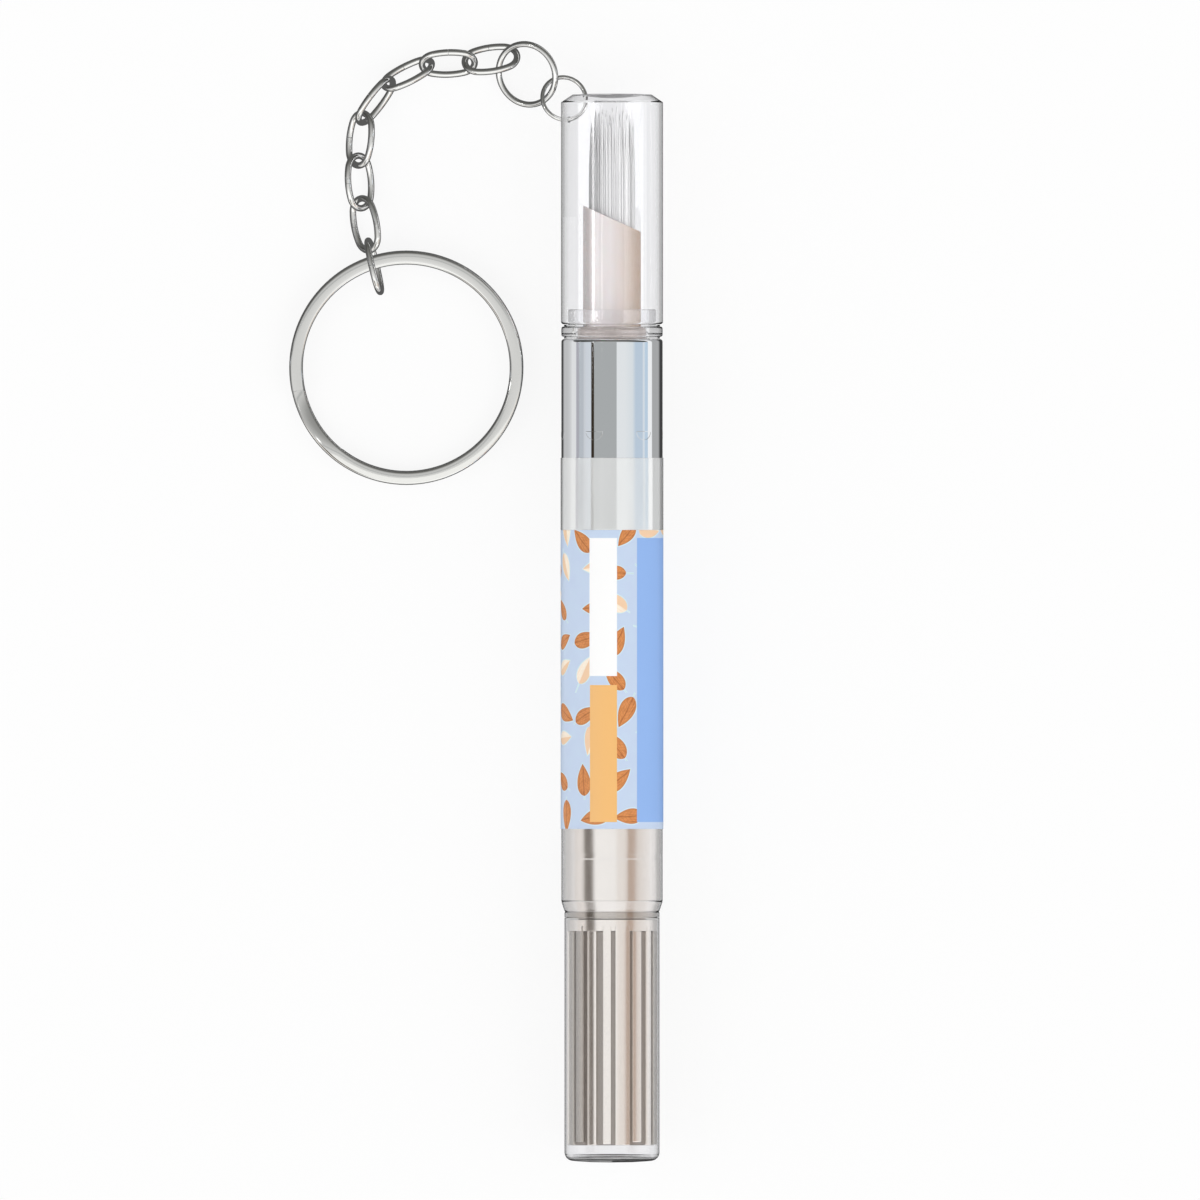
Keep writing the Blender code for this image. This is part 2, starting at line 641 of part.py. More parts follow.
def build_bristles(axis):
    """Build the bristle bundle: a slice of backing with a strand on every other triangle."""
    shape = bmesh.new()
    bmesh.ops.create_circle(
        shape, cap_ends=True, cap_tris=True, segments=BUNDLE_SIDES, radius=BRISTLE_RADIUS
    )
    half_side = math.pi / BUNDLE_SIDES
    turn = Matrix.Rotation(half_side, 3, "Z")
    bmesh.ops.rotate(shape, cent=(0, 0, 0), matrix=turn, verts=shape.verts)
    bmesh.ops.subdivide_edges(
        shape, edges=shape.edges[:], cuts=BRISTLE_RINGS - 1, use_grid_fill=True
    )
    half_row = BRISTLE_RADIUS / BRISTLE_RINGS / 4
    seats = []
    for face in shape.faces:
        rows = sorted(vert.co.y for vert in face.verts)
        if rows[1] - rows[0] < half_row:
            seats.append(face)
    for vert in shape.verts:
        angle = math.atan2(vert.co.y, vert.co.x)
        from_side = angle % (2 * half_side) - half_side
        vert.co.xy = vert.co.xy * math.cos(from_side) / math.cos(half_side)
        vert.co.z = SLICE_START + BRISTLE_SLICE
    rim = [edge for edge in shape.edges if edge.is_boundary]
    skirt = bmesh.ops.extrude_edge_only(shape, edges=rim)["geom"]
    foot = [item for item in skirt if isinstance(item, bmesh.types.BMVert)]
    bmesh.ops.translate(shape, vec=(0, 0, -BRISTLE_SLICE), verts=foot)
    bmesh.ops.edgeloop_fill(shape, edges=[edge for edge in shape.edges if edge.is_boundary])
    bend = SLICE_START + BRISTLE_SLICE + BRISTLE_BEND_SHARE * (BRISTLE_LENGTH - BRISTLE_SLICE)
    strands = bmesh.ops.extrude_discrete_faces(shape, faces=seats)["faces"]
    for face in strands:
        centre = face.calc_center_median().xy
        for vert in face.verts:
            vert.co.xy = centre * BRISTLE_WAIST_SHARE + (vert.co.xy - centre) * STRAND_BEND_SHARE
            vert.co.z = bend
    strands = bmesh.ops.extrude_discrete_faces(shape, faces=strands)["faces"]
    for number, face in enumerate(strands):
        centre = face.calc_center_median().xy
        for vert in face.verts:
            vert.co.xy = centre * BRISTLE_TIP_SHARE + (vert.co.xy - centre) * STRAND_TIP_SHARE
            vert.co.z = strand_tip_station(centre, BRISTLE_RADIUS, number)
    bmesh.ops.recalc_face_normals(shape, faces=shape.faces)
    make_part("brush_bristles", shape_to_mesh(shape, "brush_bristles"), "bristle_fibre", axis)


def build_cap(axis):
    """Build the clear cap, open at the neck, before its ring holes are drilled."""
    inner_top = CAP_END - CAP_TOP
    inner_chamfer = CAP_CHAMFER_HEIGHT
    cap = [
        (0, CAP_END),
        (CAP_RADIUS - CAP_CHAMFER_DEPTH, CAP_END),
        (CAP_RADIUS, CAP_END - CAP_CHAMFER_HEIGHT),
        (CAP_RADIUS, CAP_START + CAP_MOUTH_EDGE),
        (CAP_RADIUS - CAP_MOUTH_EDGE, CAP_START),
        (CAP_BORE, CAP_START),
        (CAP_BORE, inner_top - inner_chamfer),
        (CAP_BORE - CAP_CHAMFER_DEPTH, inner_top),
        (0, inner_top),
    ]
    return turned("cap", cap, OUTER_SIDES, "clear_plastic", axis, closed=False)


def build_piston(axis):
    """Build the piston and its two rubber rings."""
    socket = SPINDLE_NOSE_RADIUS + RUN_GAP
    socket_top = PISTON_START + PISTON_SOCKET_DEPTH
    half_groove = SEAL_WIRE / 2 + SKIN_GAP
    seals = (PISTON_END - PISTON_CROWN - SEAL_INSET, PISTON_START + SEAL_INSET)
    piston = [(0, PISTON_END), (SEAL_GROOVE_RADIUS, PISTON_END)]
    piston.append((PISTON_RADIUS, PISTON_END - PISTON_CROWN))
    for seal in seals:
        piston.append((PISTON_RADIUS, seal + half_groove))
        piston.append((SEAL_GROOVE_RADIUS, seal + half_groove))
        piston.append((SEAL_GROOVE_RADIUS, seal - half_groove))
        piston.append((PISTON_RADIUS, seal - half_groove))
    piston.append((PISTON_RADIUS, PISTON_START))
    piston.append((socket, PISTON_START))
    piston.append((socket, socket_top))
    piston.append((0, socket_top))
    turned("piston", piston, INNER_SIDES, "ivory_plastic", axis, closed=False)
    for name, seal in zip(("piston_seal_front", "piston_seal_rear"), seals):
        section = circle_points(SEAL_WIRE / 2, RING_SIDES)
        ring = [(SEAL_CENTRE_RADIUS + x, seal + y) for x, y in reversed(section)]
        turned(name, ring, INNER_SIDES, "seal_rubber", axis)


def build_spindle(axis):
    """Build the threaded spindle, flat on two sides, with a plain nose."""
    shape = thread_shape(
        THREAD_CREST_RADIUS, THREAD_ROOT_RADIUS, SPINDLE_FOOT, SPINDLE_THREAD_END
    )
    for vert in shape.verts:
        vert.co.y = max(-SPINDLE_FLAT, min(SPINDLE_FLAT, vert.co.y))
    top = max(shape.faces, key=lambda face: face.calc_center_median().z)
    for height in (0, SPINDLE_NOSE_LENGTH):
        raised = bmesh.ops.extrude_discrete_faces(shape, faces=[top])["faces"]
        top = raised[0]
        for vert in top.verts:
            angle = math.atan2(vert.co.y, vert.co.x)
            vert.co.xy = Vector((math.cos(angle), math.sin(angle))) * SPINDLE_NOSE_RADIUS
            vert.co.z += height
    bmesh.ops.recalc_face_normals(shape, faces=shape.faces)
    make_part("screw_spindle", shape_to_mesh(shape, "screw_spindle"), "ivory_plastic", axis)


def make_ring(name, radius, wire, centre, turn, parent):
    """Make a closed wire ring from its outer radius and the wire's diameter."""
    bpy.ops.mesh.primitive_torus_add(
        major_radius=radius - wire / 2,
        minor_radius=wire / 2,
        major_segments=RING_STEPS,
        minor_segments=RING_SIDES,
    )
    ring = bpy.context.object
    for collection in list(ring.users_collection):
        collection.objects.unlink(ring)
    PARTS.objects.link(ring)
    ring.name = name
    ring.data.name = name
    ring.data.materials.append(make_material(name, "steel_wire"))
    ring.parent = parent
    ring.location = centre
    ring.rotation_euler = turn.to_euler()
    return ring


def heading(degrees):
    """Give the level unit vector at an angle from +X."""
    angle = math.radians(degrees)
    return Vector((math.cos(angle), math.sin(angle), 0))


def drill_ring_holes(cap, axis, centre, turn):
    """Drill the cap where the small ring passes through its top and its side."""
    wire_circle = SMALL_RING_RADIUS - SMALL_RING_WIRE / 2
    middle_radius = CAP_RADIUS - CAP_WALL / 2
    middle_top = CAP_END - CAP_TOP / 2
    innermost = math.radians(LARGE_RING_HEADING_DEG + 180)
    step = math.radians(RING_HOLE_SEARCH_DEG)
    for name, way in (("top_hole", 1), ("side_hole", -1)):
        angle = innermost
        inside = True
        while inside:
            angle += way * step
            radial = turn @ Vector((math.cos(angle), math.sin(angle), 0))
            place = centre + radial * wire_circle
            across = math.hypot(place.x, place.z - AXIS_HEIGHT)
            inside = across < middle_radius and place.y < middle_top
        tangent = turn @ Vector((-math.sin(angle), math.cos(angle), 0))
        radius = SMALL_RING_WIRE / 2 + RING_HOLE_PLAY
        length = CAP_TOP + CAP_WALL + OVERRUN
        cutter = make_cutter(name, cylinder_mesh(name, radius, length, TUBE_SIDES), axis.parent)
        cutter.location = place
        cutter.rotation_euler = Vector((0, 0, 1)).rotation_difference(tangent).to_euler()
        cut(cap, cutter)


def link_curve():
    """Make the curve that all links share: a wire bent to a stadium, along X."""
    curve = bpy.data.curves.new("chain_link", "CURVE")
    curve.dimensions = "3D"
    curve.bevel_depth = LINK_WIRE / 2
    curve.bevel_resolution = 1
    bend = (LINK_WIDTH - LINK_WIRE) / 2
    reach = (LINK_LENGTH - LINK_WIDTH) / 2
    points = []
    for end in (1, -1):
        for step in range(LINK_ARC_STEPS + 1):
            angle = math.pi * (step / LINK_ARC_STEPS - 0.5)
            points.append((end * (reach + bend * math.cos(angle)), end * bend * math.sin(angle)))
    spline = curve.splines.new("POLY")
    spline.points.add(len(points) - 1)
    for point, (x, y) in zip(spline.points, points):
        point.co = (x, y, 0, 1)
    spline.use_cyclic_u = True
    curve.materials.append(make_material("chain_link", "steel_wire"))
    return curve


def split_ring_path():
    """Give the split ring's middle line: level turns joined by a short climb."""
    radius = SPLIT_RING_RADIUS - SPLIT_WIRE_WIDTH / 2
    rise = SPLIT_WIRE_HEIGHT + SPLIT_TURN_GAP
    crossover = SPLIT_CROSSOVER_DEG
    total = 360 * SPLIT_TURNS - crossover
    steps = round(total * SPLIT_STEPS_PER_TURN / 360)
    path = []
    for step in range(steps + 1):
        turned_by = total * step / steps
        lap = math.floor((turned_by + crossover) / 360)
        climb = (turned_by + crossover - 360 * lap) / crossover
        level = max(0.0, lap - 1 + min(1.0, climb)) if lap else 0.0
        angle = math.radians(SPLIT_SEAM_DEG + crossover + turned_by)
        height = rise * (level - (SPLIT_TURNS - 1) / 2)
        path.append(Vector((radius * math.cos(angle), radius * math.sin(angle), height)))
    return path


def print_turn_gap(path):
    """Print the least gap between the split ring's turns, measured on its middle line."""
    lap = SPLIT_STEPS_PER_TURN // 2
    least = min(
        abs(first.z - second.z)
        for start, first in enumerate(path)
        for second in path[start + lap:]
        if (first.xy - second.xy).length < SPLIT_WIRE_WIDTH
    )
    print(f"least gap between the split ring's turns: {(least - SPLIT_WIRE_HEIGHT) * 1000:.2f} mm")


def build_split_ring(centre, turn, parent):
    """Build the key ring as one flat wire wound twice."""
    half_width = SPLIT_WIRE_WIDTH / 2
    half_height = SPLIT_WIRE_HEIGHT / 2
    edge = SPLIT_WIRE_EDGE
    corners = (
        (half_width, half_height - edge),
        (half_width - edge, half_height),
        (edge - half_width, half_height),
        (-half_width, half_height - edge),
        (-half_width, edge - half_height),
        (edge - half_width, -half_height),
        (half_width - edge, -half_height),
        (half_width, edge - half_height),
    )
    section = bpy.data.curves.new("split_wire_section", "CURVE")
    outline = section.splines.new("POLY")
    outline.points.add(len(corners) - 1)
    for point, (x, y) in zip(outline.points, corners):
        point.co = (x, y, 0, 1)
    outline.use_cyclic_u = True
    guide = make_cutter("split_wire_section", section, parent)
    curve = bpy.data.curves.new("split_ring", "CURVE")
    curve.dimensions = "3D"
    curve.twist_mode = "Z_UP"
    curve.bevel_mode = "OBJECT"
    curve.bevel_object = guide
    curve.use_fill_caps = True
    path = split_ring_path()
    print_turn_gap(path)
    spline = curve.splines.new("POLY")
    spline.points.add(len(path) - 1)
    for point, place in zip(spline.points, path):
        point.co = (*place, 1)
    ring = make_part("split_ring", curve, "steel_wire", parent)
    ring.location = centre
    ring.rotation_euler = turn.to_euler()


def build_chain(root, axis, cap):
    """Hang the two jump rings, the eight links and the split ring from the cap.

    Returns the joint places from the cap outwards.
    """
    outward = heading(LARGE_RING_HEADING_DEG)
    sideways = heading(LARGE_RING_HEADING_DEG - 90)
    small_centre = Vector(
        (
            SMALL_RING_INSET - CAP_RADIUS,
            CAP_END - SMALL_RING_DROP,
            AXIS_HEIGHT - SMALL_RING_LOWER,
        )
    )
    small_turn = Matrix.Rotation(math.radians(SMALL_RING_TILT_DEG), 3, outward)
    make_ring(
        "small_jump_ring", SMALL_RING_RADIUS, SMALL_RING_WIRE, small_centre, small_turn, root
    )
    drill_ring_holes(cap, axis, small_centre, small_turn)
    reach = SMALL_RING_RADIUS + LARGE_RING_RADIUS - LARGE_RING_OVERLAP
    large_centre = small_centre + outward * reach
    large_centre.z -= LARGE_RING_DIP
    large_turn = Matrix.Rotation(math.radians(LARGE_RING_SLOPE_DEG), 3, sideways)
    large_turn = large_turn @ Matrix.Rotation(math.radians(LARGE_RING_TWIST_DEG), 3, outward)
    make_ring(
        "large_jump_ring", LARGE_RING_RADIUS, LARGE_RING_WIRE, large_centre, large_turn, root
    )
    joints = [
        small_centre,
        small_centre + outward * (SMALL_RING_RADIUS - SMALL_RING_WIRE / 2),
        large_centre + heading(LARGE_RING_JOINT_DEG) * LARGE_RING_RADIUS,
    ]
    pitch = LINK_LENGTH - 2 * LINK_WIRE - LINK_PLAY
    start_reach = LARGE_RING_RADIUS * LARGE_RING_START_SHARE
    start = large_centre + heading(LARGE_RING_START_DEG) * start_reach
    start.z = LINK_WIDTH * LINK_HEIGHT_SHARES[0]
    curve = link_curve()
    for number, (toward, roll) in enumerate(zip(LINK_HEADINGS_DEG, LINK_ROLLS_DEG), start=1):
        rise = LINK_WIDTH * LINK_HEIGHT_SHARES[number] - start.z
        end = start + heading(toward) * math.sqrt(pitch ** 2 - rise ** 2)
        end.z = start.z + rise
        along = (end - start).normalized()
        across = Vector((0, 0, 1)).cross(along).normalized()
        level = Matrix((along, across, along.cross(across))).transposed()
        link = bpy.data.objects.new(f"chain_link_{number}", curve)
        PARTS.objects.link(link)
        link.parent = root
        link.location = (start + end) / 2
        link.rotation_euler = (level @ Matrix.Rotation(math.radians(roll), 3, "X")).to_euler()
        hang = start + along * pitch * SPLIT_HANG_SHARE
        start = end
        joints.append(end)
    joints[-1] = hang
    centre = hang + heading(SPLIT_HEADING_DEG) * (SPLIT_RING_RADIUS - SPLIT_WIRE_WIDTH / 2)
    centre.z = SPLIT_WIRE_HEIGHT + SPLIT_TURN_GAP / 2 + SPLIT_LIFT
    turn = Matrix.Rotation(math.radians(SPLIT_TILT_DEG[0]), 3, "X")
    turn = turn @ Matrix.Rotation(math.radians(SPLIT_TILT_DEG[1]), 3, "Y")
    build_split_ring(centre, turn, root)
    return joints, centre


def finish_meshes():
    """Turn every piece into a plain welded mesh, smooth with sharp edges."""
    depsgraph = bpy.context.evaluated_depsgraph_get()
    settled = {}
    for part in PARTS.objects:
        if part.type in {"MESH", "CURVE"}:
            evaluated = part.evaluated_get(depsgraph)
            settled[part.name] = bpy.data.meshes.new_from_object(evaluated, depsgraph=depsgraph)
    for name, mesh in settled.items():
        shape = bmesh.new()
        shape.from_mesh(mesh)
        bmesh.ops.remove_doubles(shape, verts=shape.verts, dist=WELD)
        bmesh.ops.recalc_face_normals(shape, faces=shape.faces)
        shape.to_mesh(mesh)
        shape.free()
        mesh.shade_smooth()
        mesh.set_sharp_from_angle(angle=SMOOTH_ANGLE)
        old = bpy.data.objects[name]
        parent, place = old.parent, old.matrix_basis.copy()
        bpy.data.objects.remove(old, do_unlink=True)
        part = bpy.data.objects.new(name, mesh)
        PARTS.objects.link(part)
        part.parent = parent
        part.matrix_basis = place


def centre_on_table(root):
    """Move the whole model so that its box is centred over the origin."""
    bpy.context.view_layer.update()
    corners = [
        part.matrix_world @ vert.co
        for part in PARTS.objects
        if part.type == "MESH"
        for vert in part.data.vertices
    ]
    low = Vector([min(corner[side] for corner in corners) for side in range(3)])
    high = Vector([max(corner[side] for corner in corners) for side in range(3)])
    root.location = (-(low.x + high.x) / 2, -(low.y + high.y) / 2, -low.z)
    bpy.context.view_layer.update()
    return root.location.copy()


def main():
    """Build the whole keyring."""
    root = make_empty("assembly")
    along = (-math.pi / 2, 0, 0)
    on_axis = (0, 0, AXIS_HEIGHT)
    barrel = make_empty("barrel_axis", root, on_axis, along)
    knob = make_empty("knob_axis", root, on_axis, along)
    spindle = make_empty("spindle_axis", root, on_axis, along)
    piston = make_empty("piston_axis", root, on_axis, along)
    cap_axis = make_empty("cap_axis", root, on_axis, along)
    build_knob(knob)
    build_spindle(spindle)
    build_piston(piston)
    build_tail(barrel)
    build_barrel(barrel)
    build_neck(barrel)
    build_bristles(barrel)
    cap = build_cap(cap_axis)
    joints, ring_centre = build_chain(root, cap_axis, cap)
    bpy.context.view_layer.update()
    finish_meshes()
    offset = centre_on_table(root)
    print(f"piston travel: {PISTON_TRAVEL * 1000:.2f} mm")
    print(f"knob turns: {PISTON_TRAVEL / THREAD_LEAD:.2f}")
    axis_start = offset + Vector(on_axis)
    print("pen axis at the knob's end:", tuple(round(value, 6) for value in axis_start))
    for number, place in enumerate(joints):
        print("chain joint", number, tuple(round(value, 6) for value in offset + place))
    print("split ring centre:", tuple(round(value, 6) for value in offset + ring_centre))


clear_scene()
PARTS = make_collection("cuticle_oil_keyring")
CUTTERS = make_collection("cutters")
main()
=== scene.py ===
"""Looks of a cuticle oil pen that hangs on a key ring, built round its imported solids.

Sizes are in metres. Along the pen, a station is a distance from the knob's end.
"""

import logging
import math
from dataclasses import dataclass
from enum import Enum
from typing import Callable, Iterable, Sequence

import bmesh
import bpy
import numpy as np
from mathutils import Matrix, Vector


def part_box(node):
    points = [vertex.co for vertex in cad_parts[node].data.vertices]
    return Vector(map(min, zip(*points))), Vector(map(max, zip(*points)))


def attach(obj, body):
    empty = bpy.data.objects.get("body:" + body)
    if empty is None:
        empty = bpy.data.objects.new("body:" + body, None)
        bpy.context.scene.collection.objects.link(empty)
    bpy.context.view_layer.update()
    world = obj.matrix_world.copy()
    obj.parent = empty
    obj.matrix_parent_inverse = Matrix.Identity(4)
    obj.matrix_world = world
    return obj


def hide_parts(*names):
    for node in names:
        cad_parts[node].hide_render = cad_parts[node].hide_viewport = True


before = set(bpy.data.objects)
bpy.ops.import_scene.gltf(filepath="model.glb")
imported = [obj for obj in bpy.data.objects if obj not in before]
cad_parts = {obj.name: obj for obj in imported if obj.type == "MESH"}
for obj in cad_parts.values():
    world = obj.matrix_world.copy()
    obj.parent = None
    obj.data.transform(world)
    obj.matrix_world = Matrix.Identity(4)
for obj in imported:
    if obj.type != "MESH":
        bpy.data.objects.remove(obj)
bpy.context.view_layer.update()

LOG = logging.getLogger("keyring")
Socket = bpy.types.NodeSocket
Material = bpy.types.Material
Piece = bpy.types.Object
Shape = bmesh.types.BMesh
Vert = bmesh.types.BMVert
Edge = bmesh.types.BMEdge
Face = bmesh.types.BMFace

TURNED_SIDES = 96
WIRE_SIDES = 20
ROUND_STEPS = 4
WELD = 1e-8
HOLD = 0.00003
SHARP_ANGLE = math.radians(32)
HOLE_SEARCH_STEP = math.radians(0.25)
MILLIMETRE = 0.001
ORIGIN = Vector((0, 0, 0))
WHITE = (1.0, 1.0, 1.0, 1.0)
WRAP = "wrap"
LENS_SHARES = ((1.0, 0.0), (0.7, 0.51), (0.35, 0.88), (0.0, 1.0))

# Small steps and roundings of the turned pieces' corners
HAIRLINE = 0.00002
SLIGHT = 0.00003
FINE = 0.00005
SMALL = 0.00008
SOFT = 0.0001
FULL = 0.00012


class Body(Enum):
    """The moving bodies that pieces ride on."""

    BARREL = "barrel"
    KNOB = "knob"
    CAP = "cap"
    SMALL_RING = "small_ring"
    LARGE_RING = "large_ring"
    KEY_RING = "key_ring"


class Slot(Enum):
    """The record's material slots; each new piece is passed one, which only decides whether gleams see it."""

    CLEAR = "clear_plastic"
    MIRROR = "mirror_silver"
    SATIN = "satin_silver"
    FILM = "printed_film"
    IVORY = "ivory_plastic"
    GREY = "grey_plastic"
    FIBRE = "bristle_fibre"
    WIRE = "steel_wire"


def colour(code: str) -> tuple[float, ...]:
    """Turn a screen colour's six hexadecimal digits into linear red, green and blue, and an alpha of 1."""
    parts = [int(code[place:place + 2], 16) / 255 for place in (0, 2, 4)]
    return (*(part / 12.92 if part <= 0.04045 else ((part + 0.055) / 1.055) ** 2.4 for part in parts), 1.0)


class Graph:
    """The nodes of one material or world, with short ways to add to them."""

    def __init__(self, owner: bpy.types.ID) -> None:
        """Clear the nodes of a material or world.

        Args:
            owner: The material or world whose nodes are built.
        """
        owner.use_nodes = True
        self.tree = owner.node_tree
        self.tree.nodes.clear()

    def feed(self, socket: Socket, value: object) -> None:
        """Link a socket to another, or set its value.

        Args:
            socket: The input.
            value: Another socket or a plain value.
        """
        if isinstance(value, Socket):
            self.tree.links.new(value, socket)
        else:
            socket.default_value = value

    def add(self, kind: str, inputs: dict | None = None, **settings: object) -> bpy.types.Node:
        """Add a shader node.

        Args:
            kind: The end of the node's type name.
            inputs: Values or sockets by the input's name or number.
            settings: The node's own properties.

        Returns:
            The node.
        """
        node = self.tree.nodes.new("ShaderNode" + kind)
        for name, value in settings.items():
            setattr(node, name, value)
        for name, value in (inputs or {}).items():
            self.feed(node.inputs[name], value)
        return node

    def math(self, operation: str, *values: object) -> Socket:
        """Work out a number."""
        return self.add("Math", dict(enumerate(values)), operation=operation).outputs[0]

    def vector(self, operation: str, *values: object) -> Socket:
        """Work out a vector."""
        return self.add("VectorMath", dict(enumerate(values)), operation=operation).outputs[0]

    def times(self, first: object, second: object) -> Socket:
        """Multiply two numbers."""
        return self.math("MULTIPLY", first, second)

    def plus(self, first: object, second: object) -> Socket:
        """Add two numbers."""
        return self.math("ADD", first, second)

    def most(self, first: object, second: object) -> Socket:
        """Give the larger of two numbers."""
        return self.math("MAXIMUM", first, second)

    def over(self, value: object, limit: float) -> Socket:
        """Give 1 where a value is over a limit, and 0 elsewhere."""
        return self.math("GREATER_THAN", value, limit)

    def split(self, vector: Socket) -> list[Socket]:
        """Split a vector or a colour into its three parts."""
        return list(self.add("SeparateXYZ", {"Vector": vector}).outputs)

    def mix(self, share: object, first: object, second: object) -> Socket:
        """Mix two colours by the second's share."""
        return self.add("Mix", {0: share, 6: first, 7: second}, data_type="RGBA").outputs[2]

    def choose(self, share: object, first: object, second: object) -> Socket:
        """Mix two numbers by the second's share."""
        return self.add("Mix", {0: share, 2: first, 3: second}).outputs[0]

    def blend(self, share: object, first: Socket, second: Socket) -> Socket:
        """Mix two shaders by the second's share."""
        return self.add("MixShader", {0: share, 1: first, 2: second}).outputs[0]

    def ramp(self, value: object, low: float, high: float, start: float = 0.0, end: float = 1.0) -> Socket:
        """Map a value from one range to another, held at its ends."""
        inputs = {"Value": value, "From Min": low, "From Max": high, "To Min": start, "To Max": end}
        return self.add("MapRange", inputs).outputs[0]

    def vary(self, noise: Socket, start: float, end: float) -> Socket:
        """Map a noise, which mostly lies from 0.3 to 0.7, to a range."""
        return self.ramp(noise, 0.3, 0.7, start, end)

    def band(self, value: object, low: float, high: float, soft: float) -> Socket:
        """Give 1 where a value is between two limits and 0 outside, with soft edges."""
        rise = self.ramp(value, low - soft, low + soft)
        return self.times(rise, self.ramp(value, high - soft, high + soft, 1.0, 0.0))

    def place(self, kind: str = "Object") -> Socket:
        """Give the shaded place in the coordinates of a kind."""
        return self.add("TexCoord").outputs[kind]

    def noise(self, place: Socket, scale: float, detail: float) -> Socket:
        """Add noise at a place, with a number of octaves."""
        return self.add("TexNoise", {"Vector": place, "Scale": scale, "Detail": detail}).outputs[0]

    def grain(self, scale: Sequence[float], detail: float = 2.0) -> Socket:
        """Add noise on object coordinates, with its cycles to a metre along X, Y and Z."""
        return self.noise(self.vector("MULTIPLY", self.place(), tuple(scale)), 1.0, detail)

    def bump(self, height: Socket, depth: float) -> Socket:
        """Turn a height into a normal, with its depth in metres."""
        return self.add("Bump", {"Height": height, "Distance": depth, "Strength": 1.0}).outputs[0]

    def surface(self, tone: object, roughness: object, others: dict) -> Socket:
        """Add a surface shader, with its other inputs by name."""
        return self.add("BsdfPrincipled", {"Base Color": tone, "Roughness": roughness, **others}).outputs[0]

    def shine(self, kind: str, tint: object, strength: object) -> Socket:
        """Add a shader that gives light: Emission, or a world's Background."""
        return self.add(kind, {"Color": tint, "Strength": strength}).outputs[0]

    def finish(self, shader: Socket, kind: str = "Material") -> None:
        """Lead a shader to the output of a material or a world."""
        self.add("Output" + kind, {"Surface": shader})


def new_material(name: str) -> tuple[Material, Graph]:
    """Make an empty material and its graph."""
    material = bpy.data.materials.new(name)
    return material, Graph(material)


class Finish:
    """A finish, drawn by each kind in its own way."""

    def draw(self, graph: Graph) -> Socket:
        """Draw the finish and give its shader."""
        raise NotImplementedError

    def build(self, name: str) -> Material:
        """Make the material.

        Args:
            name: The material's name.

        Returns:
            The material.
        """
        material, graph = new_material(name)
        graph.finish(self.draw(graph))
        return material


@dataclass(frozen=True)
class ClearPlastic(Finish):
    """Clear moulded plastic, with the faint waves that moulding leaves."""

    tint: str = "fbfbfc"
    roughness: float = 0.015
    ior: float = 1.46
    waves: tuple[float, float, float] = (180, 60, 180)
    wave_depth: float = 0.000004
    shadow_share: float = 0.94

    def draw(self, graph: Graph) -> Socket:
        """Draw the plastic, which lets most light straight through to its shadow.

        Args:
            graph: The material's graph.

        Returns:
            The shader.
        """
        normal = graph.bump(graph.grain(self.waves), self.wave_depth)
        others = {"IOR": self.ior, "Transmission Weight": 1.0, "Normal": normal}
        plastic = graph.surface(colour(self.tint), self.roughness, others)
        passed = graph.add("BsdfTransparent", {"Color": (*(self.shadow_share,) * 3, 1.0)}).outputs[0]
        return graph.blend(graph.add("LightPath").outputs["Is Shadow Ray"], plastic, passed)


@dataclass(frozen=True)
class Metal(Finish):
    """Bare or metallised metal, with drawn streaks and uneven polish."""

    tint: str
    roughness: float
    spread: float
    streaks: tuple[float, float, float]
    streak_depth: float = 0.0000006
    smudges: tuple[float, float, float] = (70, 40, 70)

    def draw(self, graph: Graph) -> Socket:
        """Draw the metal.

        Args:
            graph: The material's graph.

        Returns:
            The shader.
        """
        streak = graph.grain(self.streaks, 3.0)
        polish = graph.plus(graph.times(streak, 0.5), graph.times(graph.grain(self.smudges, 3.0), 0.5))
        roughness = graph.vary(polish, self.roughness - self.spread, self.roughness + self.spread)
        others = {"Metallic": 1.0, "Normal": graph.bump(streak, self.streak_depth)}
        return graph.surface(colour(self.tint), roughness, others)


@dataclass(frozen=True)
class Moulded(Finish):
    """Opaque moulded plastic or rubber, with a fine grain and slight mottling."""

    tint: str
    shade: str
    roughness: float
    grain_depth: float = 0.000004
    subsurface: float = 0.0
    grain_scale: tuple[float, float, float] = (2600.0, 2600.0, 2600.0)
    mottling: tuple[float, float, float] = (300, 120, 300)
    # Painted shade: colours mixed in over a piece's sides, each from one X to another
    sides: tuple[tuple[str, float, float], ...] = ()

    def draw(self, graph: Graph) -> Socket:
        """Draw the plastic, with painted shade on its sides, each side's colour mixed in from one X to
        another.

        Args:
            graph: The material's graph.

        Returns:
            The shader.
        """
        grain = graph.grain(self.grain_scale, 3.0)
        mottle = graph.ramp(graph.grain(self.mottling), 0.35, 0.65)
        tone = graph.mix(mottle, colour(self.tint), colour(self.shade))
        across = graph.split(graph.place())[0]
        # Painted shade on the piece's sides
        for tint, start, end in self.sides:
            tone = graph.mix(graph.ramp(across, start, end), tone, colour(tint))
        others = {"Normal": graph.bump(grain, self.grain_depth)}
        if self.subsurface:
            others.update({"Subsurface Weight": self.subsurface, "Subsurface Scale": MILLIMETRE})
        roughness = graph.vary(grain, self.roughness * 0.85, self.roughness * 1.15)
        return graph.surface(tone, roughness, others)


@dataclass(frozen=True)
class Fibre(Finish):
    """Pale brush fibre, each hair a little lighter or darker than the next."""

    pale: str = "ffffff"
    dark: str = "a0a0a1"
    roughness: float = 0.42
    sheen: float = 0.3
    streaks: tuple[float, float, float] = (5200, 160, 5200)
    streak_share: float = 0.3

    def draw(self, graph: Graph) -> Socket:
        """Draw the fibre by the shade that each hair carries, which holds random tone and painted shade.

        Args:
            graph: The material's graph.

        Returns:
            The shader.
        """
        shade = graph.add("Attribute", attribute_name="shade").outputs["Fac"]
        streak = graph.times(graph.grain(self.streaks), self.streak_share)
        share = graph.plus(graph.times(shade, 1 - self.streak_share), streak)
        tone = graph.mix(share, colour(self.pale), colour(self.dark))
        return graph.surface(tone, self.roughness, {"Sheen Weight": self.sheen})


